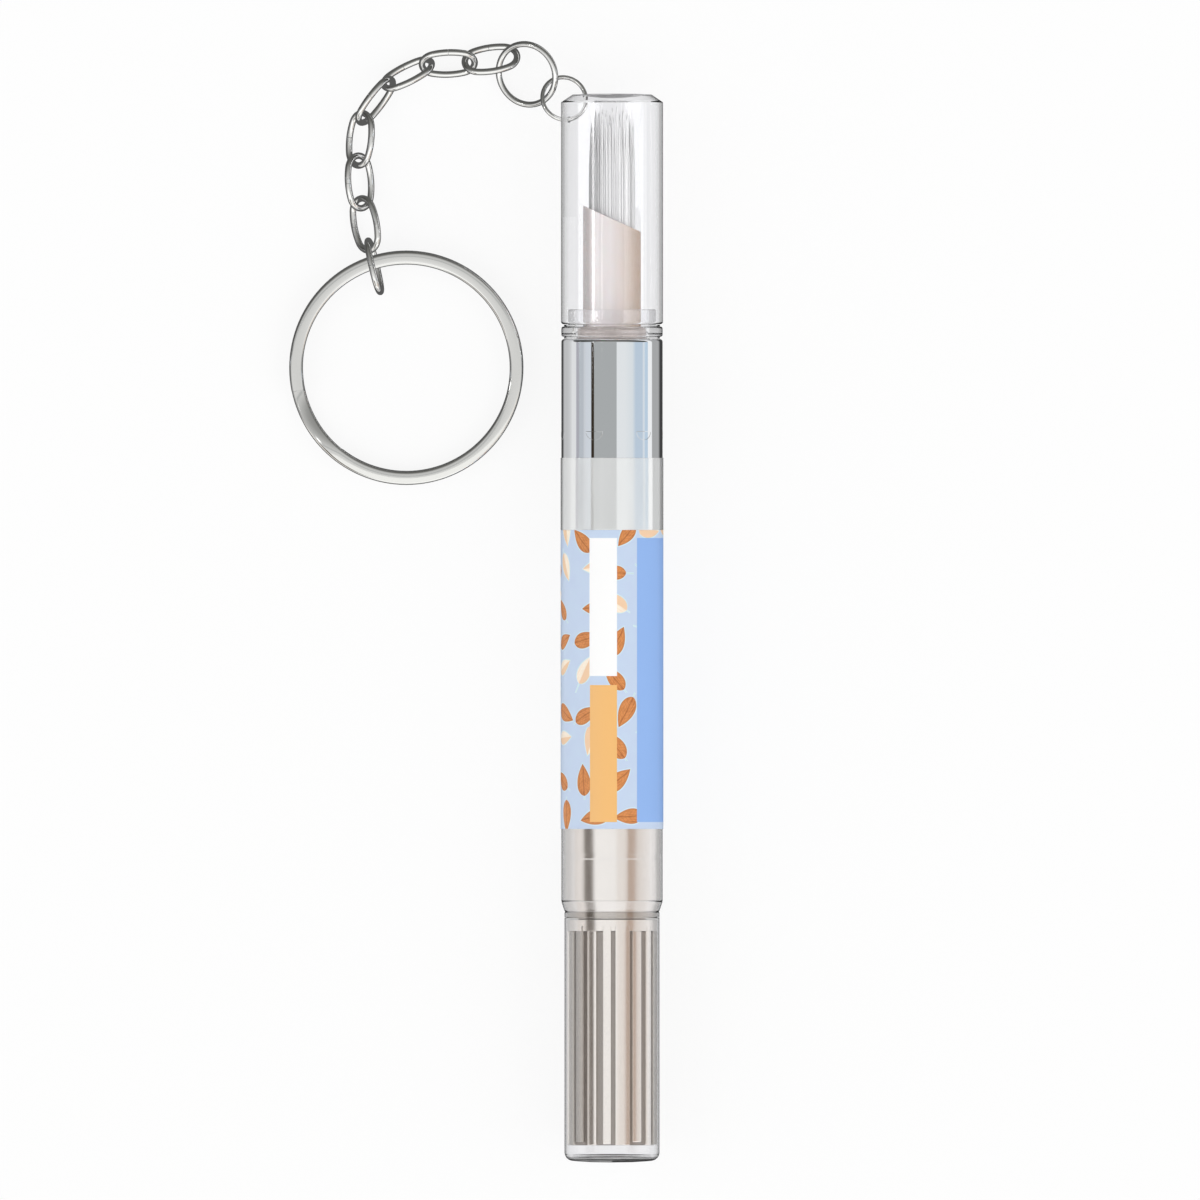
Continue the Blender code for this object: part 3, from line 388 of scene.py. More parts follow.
@dataclass(frozen=True)
class Film(Finish):
    """Satin film: its grain, how rough it is from place to place, and its depth."""

    rough: tuple[float, float]
    depth: float
    weave: tuple[float, float, float] = (500, 90, 500)

    def coat(self, graph: Graph, tone: object, others: dict) -> Socket:
        """Give a tone the film's satin.

        Args:
            graph: The material's graph.
            tone: The film's colour.
            others: The shader's other inputs.

        Returns:
            The shader.
        """
        grain = graph.grain(self.weave, 3.0)
        others = {**others, "Normal": graph.bump(grain, self.depth)}
        return graph.surface(tone, graph.vary(grain, *self.rough), others)


@dataclass(frozen=True)
class Panel:
    """A plain printed panel: its colour, and its limits in millimetres round and along the pen."""

    tint: str
    left: float
    right: float
    bottom: float
    top: float


@dataclass(frozen=True)
class PrintedLabel(Film):
    """Satin printed film: scattered leaves on a pale ground, under plain panels."""

    rough: tuple[float, float] = (0.3, 0.42)
    depth: float = 0.000001
    ground: str = "c5d5ee"
    leaf_dark: str = "96450f"
    leaf_pale: str = "dd8f4d"
    petal_dark: str = "f1c193"
    petal_pale: str = "fdf1df"
    outline: str = "d3eef5"
    cell: float = 4.4
    disorder: float = 0.5
    leaf_length: float = 0.45
    leaf_width: float = 0.215
    leaf_growth: tuple[float, float] = (0.86, 1.12)
    tip_power: float = 0.6
    vein_slant: tuple[float, float] = (9.0, -7.0)
    fine_scale: tuple[float, float, float] = (3.5, 24.0, 0.0)
    ink_scale: float = 0.6
    panel_edge: float = 0.02
    panels: tuple[Panel, ...] = (
        Panel("fdfdfd", -2.98, 0.64, 62.27, 79.94),
        Panel("f4bd74", -2.92, 0.64, 43.58, 61.12),
        Panel("8fb5ee", 3.34, 15.6, 43.58, 79.94),
    )

    def leaf_lines(self, graph: Graph, turned_place: Socket, along: Socket, side: Socket) -> Socket:
        """Draw a leaf's rib, its slanting veins and its fine lines.

        Args:
            graph: The material's graph.
            turned_place: The place in the leaf's own directions.
            along: How far along the leaf it is.
            side: How far from its rib it is.

        Returns:
            How dark the lines are.
        """
        rib = graph.ramp(side, 0.004, 0.012, 0.8, 0)
        slant = graph.plus(*(graph.times(way, pace) for way, pace in zip((along, side), self.vein_slant)))
        vein = graph.ramp(graph.math("PINGPONG", slant, 0.5), 0.0, 0.10, 0.5, 0)
        fine = graph.noise(graph.vector("MULTIPLY", turned_place, self.fine_scale), 1.0, 3.0)
        return graph.most(graph.most(rib, vein), graph.ramp(fine, 0.45, 0.7, 0, 0.75))

    def leaves(self, graph: Graph, place: Socket, ground: Socket) -> Socket:
        """Scatter leaves and petals over the ground.

        Args:
            graph: The material's graph.
            place: The place on the wrapped film, in millimetres.
            ground: The ground's colour.

        Returns:
            The ground's colour with the leaves over it.
        """
        scaled = graph.vector("MULTIPLY", place, (1 / self.cell, 1 / self.cell, 0))
        spots = {"Vector": scaled, "Scale": 1.0, "Randomness": self.disorder}
        cells = graph.add("TexVoronoi", spots, voronoi_dimensions="2D").outputs
        turn, kind, size = graph.split(cells["Color"])
        away = graph.vector("SUBTRACT", scaled, cells["Position"])
        heading = {"Vector": away, "Angle": graph.times(turn, 2 * math.pi)}
        leaf_place = graph.add("VectorRotate", heading, rotation_type="Z_AXIS").outputs[0]
        along, across, _ = graph.split(leaf_place)
        side = graph.math("ABSOLUTE", across)
        grown = graph.ramp(size, 0, 1, *self.leaf_growth)
        reach = graph.math("DIVIDE", along, graph.times(grown, self.leaf_length))
        blunt = graph.math("POWER", graph.most(graph.math("SUBTRACT", 1.0, reach), 0.0), self.tip_power)
        width = graph.times(graph.times(grown, self.leaf_width), graph.times(graph.plus(1.0, reach), blunt))
        edge = graph.math("SUBTRACT", width, side)
        lines = self.leaf_lines(graph, leaf_place, along, side)
        dim = graph.ramp(edge, 0.0, 0.07, 0.4, 0.0)
        leaf = graph.mix(graph.most(lines, dim), colour(self.leaf_pale), colour(self.leaf_dark))
        shade = graph.most(graph.ramp(across, -0.012, 0.0, 0.0, 0.75), graph.times(lines, 0.5))
        petal = graph.mix(shade, colour(self.petal_pale), colour(self.petal_dark))
        rim = graph.times(graph.ramp(edge, -0.034, -0.024), 0.8)
        rimmed_ground = graph.mix(rim, ground, colour(self.outline))
        leaf_or_petal = graph.mix(graph.over(kind, 0.5), leaf, petal)
        return graph.mix(graph.ramp(edge, -0.006, 0.006), rimmed_ground, leaf_or_petal)

    def draw(self, graph: Graph) -> Socket:
        """Draw the printed film.

        Args:
            graph: The material's graph.

        Returns:
            The shader.
        """
        place = graph.add("UVMap", uv_map=WRAP).outputs["UV"]
        around, along, _ = graph.split(place)
        ink = graph.vary(graph.noise(place, self.ink_scale, 2.0), 0, 0.12)
        tone = self.leaves(graph, place, graph.mix(ink, colour(self.ground), colour(self.outline)))
        for panel in self.panels:
            across = graph.band(around, panel.left, panel.right, self.panel_edge)
            inside = graph.times(across, graph.band(along, panel.bottom, panel.top, self.panel_edge))
            tone = graph.mix(inside, tone, colour(panel.tint))
        return self.coat(graph, tone, {})


@dataclass(frozen=True)
class FrostedFilm(Film):
    """The film's unprinted, milky band, with the silver under it in the same finish."""

    rough: tuple[float, float] = (0.072, 0.108)
    depth: float = 0.0000005
    tint: str = "f4f5f5"
    silver_share: float = 0.6

    def draw(self, graph: Graph) -> Socket:
        """Draw the milky band."""
        return self.coat(graph, colour(self.tint), {"Metallic": self.silver_share})


class Finishes:
    """Every finish, each made once."""

    def __init__(self, line: "PenLine") -> None:
        """Make the materials.

        Args:
            line: The pen's axis.
        """
        # Painted shade on the ivory plastic: a warm, darker tint over its right side and a greyer tint over
        # its left side
        sides = (
            ("a08874", line.x - 0.0002, line.x + 0.0034),
            ("a59c9a", line.x - 0.0024, line.x - 0.0030),
        )
        self.clear = ClearPlastic().build("clear_plastic")
        self.mirror = Metal("eceef0", 0.028, 0.008, (400, 25, 400), 0.0000003).build("mirror_silver")
        self.satin = Metal("efebe7", 0.2, 0.03, (1800, 40, 1800)).build("satin_silver")
        self.ribbed = Metal("efeae5", 0.2, 0.03, (1800, 60, 1800)).build("ribbed_silver")
        # Painted shade: a darker copy of the silver, on some of the core's ribs and on the tail liner's foot
        self.dim = Metal("c0bbb5", 0.2, 0.03, (1800, 60, 1800)).build("painted_shade_dim_silver")
        # Painted shade: a darker silver for the groove floors between the core's ribs
        self.groove = Metal("958e88", 0.3, 0.04, (1800, 60, 1800)).build("painted_shade_groove_silver")
        self.wire = Metal("ececea", 0.08, 0.03, (900, 900, 900), 0.0000003).build("steel_wire")
        self.label = PrintedLabel().build("printed_label")
        self.band = FrostedFilm().build("frosted_film")
        # Painted shade: grey clear plastic for the discs that darken the knob's end and the cap's top
        self.painted_shade_disc = ClearPlastic("9b979a", 0.12).build("painted_shade_disc_plastic")
        self.ivory = Moulded("d6d0cf", "d1cac9", 0.2, subsurface=0.15, sides=sides).build("ivory_plastic")
        # Painted shade: a darker copy of the ivory plastic for the holder's flange, where it sits inside the
        # clear collar
        self.flange_painted_shade = Moulded("b9afab", "b2a8a4", 0.3).build("flange_painted_shade_plastic")
        self.grey = Moulded("9d9993", "8f8b86", 0.4).build("grey_plastic")
        self.fibre = Fibre().build("bristle_fibre")
        self.rubber = Moulded("262628", "1f1f21", 0.6, grain_depth=0.00001).build("seal_rubber")


@dataclass(frozen=True)
class PenLine:
    """The pen's axis, which runs along +Y."""

    x: float
    z: float
    start: float

    @classmethod
    def from_frame(cls) -> "PenLine":
        """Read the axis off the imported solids.

        Returns:
            The pen's axis.
        """
        low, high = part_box("outer_sleeve")
        knob_low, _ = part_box("knob_shell")
        return cls((low.x + high.x) / 2, (low.z + high.z) / 2, knob_low.y)

    def point(self, radius: float, station: float) -> Vector:
        """Give the point at a distance to the right of the axis, at a station."""
        return Vector((self.x + radius, self.start + station, self.z))

    def centre(self, station: float = 0.0) -> Vector:
        """Give the point of the axis at a station."""
        return self.point(0.0, station)


@dataclass(frozen=True)
class Corner:
    """A corner of a turned section: its radius, station and rounding."""

    radius: float
    station: float
    rounding: float = 0.0


def add_object(name: str, data: bpy.types.ID) -> Piece:
    """Add an object to the scene.

    Args:
        name: The object's name.
        data: Its mesh, light or camera.

    Returns:
        The object.
    """
    made = bpy.data.objects.new(name, data)
    bpy.context.scene.collection.objects.link(made)
    return made


def smooth(mesh: bpy.types.Mesh) -> None:
    """Shade a mesh smooth, with sharp edges."""
    mesh.shade_smooth()
    mesh.set_sharp_from_angle(angle=SHARP_ANGLE)


def finish_object(name: str, shape: Shape, *materials: Material) -> Piece:
    """Store a shape as a smooth object.

    Args:
        name: The piece's name.
        shape: The shape, which is freed.
        materials: Its finishes, by the number that its faces carry.

    Returns:
        The new object.
    """
    mesh = bpy.data.meshes.new(name)
    shape.to_mesh(mesh)
    shape.free()
    smooth(mesh)
    for material in materials:
        mesh.materials.append(material)
    return add_object(name, mesh)


def settle(piece: Piece) -> None:
    """Apply a piece's modifiers."""
    depsgraph = bpy.context.evaluated_depsgraph_get()
    mesh = bpy.data.meshes.new_from_object(piece.evaluated_get(depsgraph), depsgraph=depsgraph)
    piece.modifiers.clear()
    piece.data = mesh
    smooth(mesh)


def place_piece(piece: Piece, body: str, slot: Slot, *nodes: str) -> Piece:
    """Let a piece ride on a body, keep wire out of gleams, and hide the solids that it stands for.

    Args:
        piece: The piece.
        body: The body's name.
        slot: The record's material slot, which here only decides whether gleams see the piece.
        nodes: The solids that it stands for.

    Returns:
        The piece.
    """
    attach(piece, body)
    piece.visible_glossy = slot is not Slot.WIRE
    if nodes:
        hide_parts(*nodes)
    LOG.info("%s rides on %s with %d faces", piece.name, body, len(piece.data.polygons))
    return piece


def only(kind: type, items: Iterable) -> list:
    """Keep the items of one kind, such as the edges, from what an operator gives."""
    return [item for item in items if isinstance(item, kind)]


def turn_shape(shape: Shape, angle: float, axis: str, centre: Vector = ORIGIN) -> None:
    """Turn a shape about an axis through a point."""
    bmesh.ops.rotate(shape, verts=shape.verts, cent=centre, matrix=Matrix.Rotation(angle, 3, axis))


def round_off(shape: Shape, parts: list, size: float, steps: int, affect: str = "EDGES") -> list[Face]:
    """Round some of a shape's edges or corners.

    Args:
        shape: The shape.
        parts: The edges or corners.
        size: The rounding's size.
        steps: How many steps it takes.
        affect: EDGES or VERTICES.

    Returns:
        The faces that it makes.
    """
    return bmesh.ops.bevel(
        shape,
        geom=parts,
        offset=size,
        offset_type="OFFSET",
        affect=affect,
        segments=steps,
        profile=0.5,
        material=-1,
    )["faces"]


def hold_straight(shape: Shape) -> None:
    """Split a section's long edges near both ends, so that smooth shading stays true along them."""
    for edge in shape.edges[:]:
        length = edge.calc_length()
        if length > 10 * HOLD:
            first, second = edge.verts
            _, near = bmesh.utils.edge_split(edge, first, HOLD / length)
            rest = next(part for part in near.link_edges if second in part.verts)
            bmesh.utils.edge_split(rest, second, HOLD / rest.calc_length())


def turned_shape(line: PenLine, corners: Sequence[Corner]) -> Shape:
    """Turn a closed section about the pen's axis.

    Args:
        line: The pen's axis.
        corners: The section's corners in order.

    Returns:
        The closed shape.
    """
    shape = bmesh.new()
    verts = [shape.verts.new(line.point(corner.radius, corner.station)) for corner in corners]
    shape.faces.new(verts)
    for rounding in sorted({corner.rounding for corner in corners} - {0.0}):
        chosen = [vert for vert, corner in zip(verts, corners) if corner.rounding == rounding]
        round_off(shape, chosen, rounding, ROUND_STEPS, "VERTICES")
    bmesh.ops.delete(shape, geom=shape.faces[:], context="FACES_ONLY")
    on_axis = [edge for edge in shape.edges if all(abs(vert.co.x - line.x) < WELD for vert in edge.verts)]
    bmesh.ops.delete(shape, geom=on_axis, context="EDGES")
    hold_straight(shape)
    bmesh.ops.spin(
        shape,
        geom=shape.verts[:] + shape.edges[:],
        cent=line.centre(),
        axis=(0, 1, 0),
        angle=2 * math.pi,
        steps=TURNED_SIDES,
        use_merge=True,
    )
    bmesh.ops.remove_doubles(shape, verts=shape.verts, dist=WELD)
    bmesh.ops.recalc_face_normals(shape, faces=shape.faces)
    return shape


@dataclass
class Turner:
    """What the pen's sub-assemblies share: its axis, the body they ride on, and turned pieces."""

    line: PenLine
    body: Body = Body.BARREL

    def turn(
        self, name: str, corners: Sequence[Corner], material: Material, slot: Slot, *nodes: str
    ) -> Piece:
        """Turn a closed section into a piece that rides on the sub-assembly's body.

        Args:
            name: The piece's name.
            corners: The section's corners in order.
            material: Its finish.
            slot: The record's material slot.
            nodes: The solids that it stands for.

        Returns:
            The piece.
        """
        piece = finish_object(name, turned_shape(self.line, corners), material)
        return place_piece(piece, self.body.value, slot, *nodes)


def tube(outer: float, inner: float, bottom: float, top: float, rounding: float) -> tuple[Corner, ...]:
    """Give a plain tube's section."""
    outside = (Corner(outer, top, rounding), Corner(outer, bottom, rounding))
    return (*outside, Corner(inner, bottom), Corner(inner, top))


def lens(radius: float, face: float, depth: float) -> tuple[Corner, ...]:
    """Give the section of a disc with a flat face and a domed back."""
    return (Corner(0, face), *(Corner(radius * wide, face + depth * deep) for wide, deep in LENS_SHARES))


def axes(across: Vector, normal: Vector, centre: Vector) -> Matrix:
    """Make a matrix from the ways of its X and its Z, and its place."""
    turn = Matrix((across, normal.cross(across).normalized(), normal)).transposed().to_4x4()
    return Matrix.Translation(centre) @ turn


def main_axes(node: str) -> Matrix:
    """Find how a flat, closed solid lies.

    Args:
        node: The solid's name.

    Returns:
        A matrix: X is the solid's longest way, Z is square to its plane, and the place is its centre.
    """
    points = np.array([vert.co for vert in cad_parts[node].data.vertices], float)
    points = np.unique(points.round(7), axis=0)
    centre = points.mean(0)
    _, _, ways = np.linalg.svd(points - centre, full_matrices=False)
    long_way, normal = Vector(ways[0]), Vector(ways[2])
    if long_way.y > 0:
        long_way.negate()
    if normal.z < 0:
        normal.negate()
    return axes(long_way, normal, Vector(centre))


def level_axes(node: str) -> Matrix:
    """Find how a round ring lies, with X as near to the world's as its plane allows.

    Args:
        node: The solid's name.

    Returns:
        The ring's matrix.
    """
    found = main_axes(node)
    normal = found.col[2].to_3d()
    toward = Vector((1, 0, 0))
    return axes((toward - normal * toward.dot(normal)).normalized(), normal, found.translation)


def wire_start(wire: float, centre: Vector = ORIGIN, sides: int = WIRE_SIDES) -> tuple[Shape, list[Edge]]:
    """Start a wire with its round section, which faces along +Y.

    Args:
        wire: The wire's diameter.
        centre: The section's centre.
        sides: How many sides the section has.

    Returns:
        The shape and the section's edges.
    """
    shape = bmesh.new()
    bmesh.ops.create_circle(shape, cap_ends=False, segments=sides, radius=wire / 2)
    turn_shape(shape, math.pi / 2, "X")
    bmesh.ops.translate(shape, verts=shape.verts, vec=centre)
    return shape, shape.edges[:]


def run_straight(shape: Shape, edges: list[Edge], way: Vector) -> list[Edge]:
    """Extrude a wire's section straight on.

    Args:
        shape: The wire so far.
        edges: The section at its end.
        way: How far and which way.

    Returns:
        The new section's edges.
    """
    moved = bmesh.ops.extrude_edge_only(shape, edges=edges)["geom"]
    bmesh.ops.translate(shape, verts=only(Vert, moved), vec=way)
    return [edge for edge in only(Edge, moved) if len(edge.link_faces) == 1]


def run_round(
    shape: Shape, edges: list[Edge], centre: Vector, angle: float, steps: int, climb: float = 0.0
) -> list[Edge]:
    """Spin a wire's section round a centre, about Z.

    Args:
        shape: The wire so far.
        edges: The section at its end.
        centre: The bend's centre.
        angle: How far it turns.
        steps: How many steps it takes.
        climb: How far it climbs along Z in all.

    Returns:
        The new section's edges.
    """
    verts = list({vert for edge in edges for vert in edge.verts})
    spun = bmesh.ops.spin(
        shape,
        geom=verts + list(edges),
        cent=centre,
        axis=(0, 0, 1),
        dvec=(0, 0, climb / steps),
        angle=angle,
        steps=steps,
    )
    return only(Edge, spun["geom_last"])


def close_wire(shape: Shape, chamfer: float) -> None:
    """Cap a wire's two ends, with a small chamfer round each.

    Args:
        shape: The wire.
        chamfer: The chamfer's size.
    """
    rims = [edge for edge in shape.edges if len(edge.link_faces) == 1]
    caps = bmesh.ops.edgeloop_fill(shape, edges=rims)["faces"]
    bmesh.ops.recalc_face_normals(shape, faces=shape.faces)
    round_off(shape, [edge for face in caps for edge in face.edges], chamfer, 1)


@dataclass
class Knob(Turner):
    """The twist knob: a thin clear shell over a fluted, metallised core."""

    body: Body = Body.KNOB
    radius: float = 0.00608
    length: float = 0.03135
    bore: float = 0.00586
    corner: float = 0.00095
    end_dome: tuple[Corner, ...] = (Corner(0, 0), Corner(0.0026, 0.00004), Corner(0.0044, 0.00015))
    end_rise: float = 0.00032
    floor_top: float = 0.0005
    rib_count: int = 18
    rib_turn: float = math.radians(13.6)
    rib_height: float = 0.0005
    rib_share: float = 0.62
    rib_spread: float = 0.16
    rib_lean: float = math.radians(7)
    rib_round: float = 0.00006
    wide_ribs: tuple[int, ...] = (0, 6, 7, 12, 13)
    wide_share: float = 0.93
    # Ribs that take the darker silver, as painted shade
    painted_shade_ribs: tuple[int, ...] = (3, 9, 14, 15)
    core_radius: float = 0.00580
    core_bore: float = 0.00500
    core_start: float = 0.0022
    core_end: float = 0.0303
    core_edge: float = 0.0002
    collar_start: float = 0.0296
    collar_end: float = 0.03112
    collar_radius: float = 0.00574
    collar_gap: float = 4e-8
    end_steps: tuple[float, ...] = (0.0, 0.0004, 0.0, 0.0001, 0.0004, 0.0, 0.0002)
    top_steps: tuple[float, ...] = (0.0, 0.0007, 0.0, 0.0007, 0.0007)
    disc_radius: float = 0.00505
    disc_depth: float = 0.0004
    disc_start: float = 0.00056

    def build_shell(self, finishes: Finishes) -> None:
        """Build the clear shell, with its slightly domed end and a grey inner disc of painted shade."""
        section = (
            *self.end_dome,
            Corner(self.radius, self.end_rise, self.corner),
            Corner(self.radius, self.length, SMALL),
            Corner(self.bore, self.length, SMALL),
            Corner(self.bore, self.floor_top, self.corner * 0.8),
            Corner(0, self.floor_top),
        )
        self.turn("knob_clear_shell", section, finishes.clear, Slot.CLEAR, "knob_shell")
        # A grey disc of painted shade inside the knob's end
        disc = lens(self.disc_radius, self.disc_start, self.disc_depth)
        self.turn("knob_end_shade_disc", disc, finishes.painted_shade_disc, Slot.CLEAR)

    def add_rib(self, shape: Shape, number: int, share: float, lean: float) -> None:
        """Add one flat-topped rib to the core.

        Args:
            shape: The core.
            number: The rib's number.
            share: Its share of its pitch.
            lean: How far its top leans to one side.
        """
        bottom = self.core_start + self.end_steps[number % len(self.end_steps)]
        top = self.core_end - self.top_steps[number % len(self.top_steps)]
        width = 2 * math.pi * self.core_radius / self.rib_count * share
        size = Matrix.Diagonal((width, top - bottom, self.rib_height, 1.0))
        rib = bmesh.ops.create_cube(shape, size=1.0, matrix=size)["verts"]
        edges = list({edge for vert in rib for edge in vert.link_edges})
        verts = {vert for face in round_off(shape, edges, self.rib_round, 2) for vert in face.verts}
        for way in (-1, 1):
            geometry = [part for vert in verts for part in (vert, *vert.link_edges, *vert.link_faces)]
            cut = bmesh.ops.bisect_plane(
                shape,
                geom=list(set(geometry)),
                plane_co=(0, way * ((top - bottom) / 2 - self.rib_round - HOLD), 0),
                plane_no=(0, 1, 0),
            )
            verts |= set(only(Vert, cut["geom_cut"]))
        reach = math.hypot(self.core_radius, width / 2) - self.core_radius + width / 2 * math.tan(abs(lean))
        place = Matrix.Translation(self.line.centre((bottom + top) / 2))
        place = place @ Matrix.Rotation(self.rib_turn + 2 * math.pi * number / self.rib_count, 4, "Y")
        place = place @ Matrix.Translation((0, 0, self.core_radius - self.rib_height / 2 - reach))
        place = place @ Matrix.Rotation(lean, 4, "Y")
        bmesh.ops.transform(shape, matrix=place, verts=list(verts))

    def build_core(self, finishes: Finishes) -> None:
        """Build the fluted core and the plain collar at its top."""
        root = self.core_radius - self.rib_height + 2 * self.rib_round
        groove_end = self.collar_start - self.collar_gap
        section = tube(root, self.core_bore, self.core_start, groove_end, self.core_edge)
        # The grooves take the darker silver, as painted shade
        self.turn("knob_core_grooves", section, finishes.groove, Slot.GREY, "knob_core")
        random = np.random.default_rng(5)
        ribs = bmesh.new()
        for number in range(self.rib_count):
            share = self.rib_share + random.uniform(-1, 1) * self.rib_spread
            lean = random.uniform(-1, 1) * self.rib_lean
            if number in self.wide_ribs:
                share, lean = self.wide_share, 0.0
            earlier = set(ribs.faces)
            self.add_rib(ribs, number, share, lean)
            # Some ribs take the darker silver, as painted shade
            for face in set(ribs.faces) - earlier:
                face.material_index = int(number in self.painted_shade_ribs)
        piece = finish_object("knob_core_ribs", ribs, finishes.ribbed, finishes.dim)
        place_piece(piece, self.body.value, Slot.GREY, "knob_core")
        collar = (
            Corner(self.collar_radius, self.collar_end, SOFT),
            Corner(self.collar_radius, self.collar_start, SMALL),
            Corner(self.core_bore, self.collar_start),
            Corner(self.core_bore, self.collar_end),
        )
        self.turn("knob_core_collar", collar, finishes.ribbed, Slot.GREY, "knob_core")

    def build(self, finishes: Finishes) -> None:
        """Build the knob."""
        self.build_shell(finishes)
        self.build_core(finishes)


@dataclass
class Tail(Turner):
    """The barrel's clear end, with the satin tube close inside it."""

    radius: float = 0.00648
    wall: float = 0.00022
    play: float = 0.00004
    start: float = 0.0314
    end: float = 0.0439
    lip: float = 0.0007
    taper_end: float = 0.0334
    taper_depth: float = 0.0004
    taper_lip: float = 0.00006
    liner_wall: float = 0.00030
    liner_start: float = 0.0312
    liner_step: float = 0.0004
    foot_wall: float = 0.00006
    foot_edge: float = 0.00001
    bead_start: float = 0.0389
    bead_end: float = 0.0396
    bead_height: float = 0.00008
    bead_slope: float = 0.0003

    def build_housing(self, finishes: Finishes) -> None:
        """Build the clear housing."""
        lower = self.radius - self.taper_depth
        groove = self.start + self.lip
        inside = self.radius - self.wall
        housing = (
            Corner(self.radius, self.end, FINE),
            Corner(self.radius, self.taper_end + SMALL),
            Corner(self.radius - self.taper_lip, self.taper_end + HAIRLINE),
            Corner(self.radius - HAIRLINE, self.taper_end - FINE),
            Corner(lower, groove + FULL, self.taper_lip),
            Corner(lower - SOFT, groove, SLIGHT),
            Corner(lower, groove - FULL, SLIGHT),
            Corner(lower, self.start, FINE),
            Corner(lower - self.wall, self.start, FINE),
            Corner(lower - self.wall, groove, SOFT),
            Corner(inside, self.taper_end + SOFT, SOFT),
            Corner(inside, self.end, FINE),
        )
        self.turn("tail_clear_housing", housing, finishes.clear, Slot.CLEAR, "tail_housing")

    def build_liner(self, finishes: Finishes) -> None:
        """Build the satin liner, with its bead and its foot in the darker silver of painted shade."""
        groove = self.start + self.lip
        upper = self.radius - self.wall - self.play
        narrow = self.radius - self.taper_depth - self.wall - self.play
        foot_radius = narrow - SMALL
        waist = upper - self.bead_height
        shoulder = upper - self.bead_height / 4
        liner = (
            Corner(upper, self.end - SOFT, FINE),
            Corner(upper, self.bead_end, FULL),
            Corner(waist, self.bead_end - self.bead_slope, FULL),
            Corner(waist, self.bead_start, SLIGHT),
            Corner(shoulder, self.bead_start - FULL, SLIGHT),
            Corner(shoulder, self.taper_end + SOFT, FULL),
            Corner(narrow, groove + SOFT, SOFT),
            Corner(foot_radius, groove - 2 * SOFT, SOFT),
            Corner(foot_radius, self.liner_start, SMALL),
            Corner(narrow - self.liner_wall, self.liner_start),
            Corner(narrow - self.liner_wall, self.taper_end),
            Corner(upper - self.liner_wall, self.taper_end + self.liner_step),
            Corner(upper - self.liner_wall, self.end - SOFT),
        )
        self.turn("tail_satin_liner", liner, finishes.satin, Slot.SATIN, "tail_liner")
        # Painted shade: a thin skin of darker silver over the liner's foot
        foot = tube(narrow, narrow - self.foot_wall, self.liner_start, groove - FULL, self.foot_edge)
        self.turn("tail_liner_foot", foot, finishes.dim, Slot.SATIN)

    def build(self, finishes: Finishes) -> None:
        """Build the tail."""
        self.build_housing(finishes)
        self.build_liner(finishes)


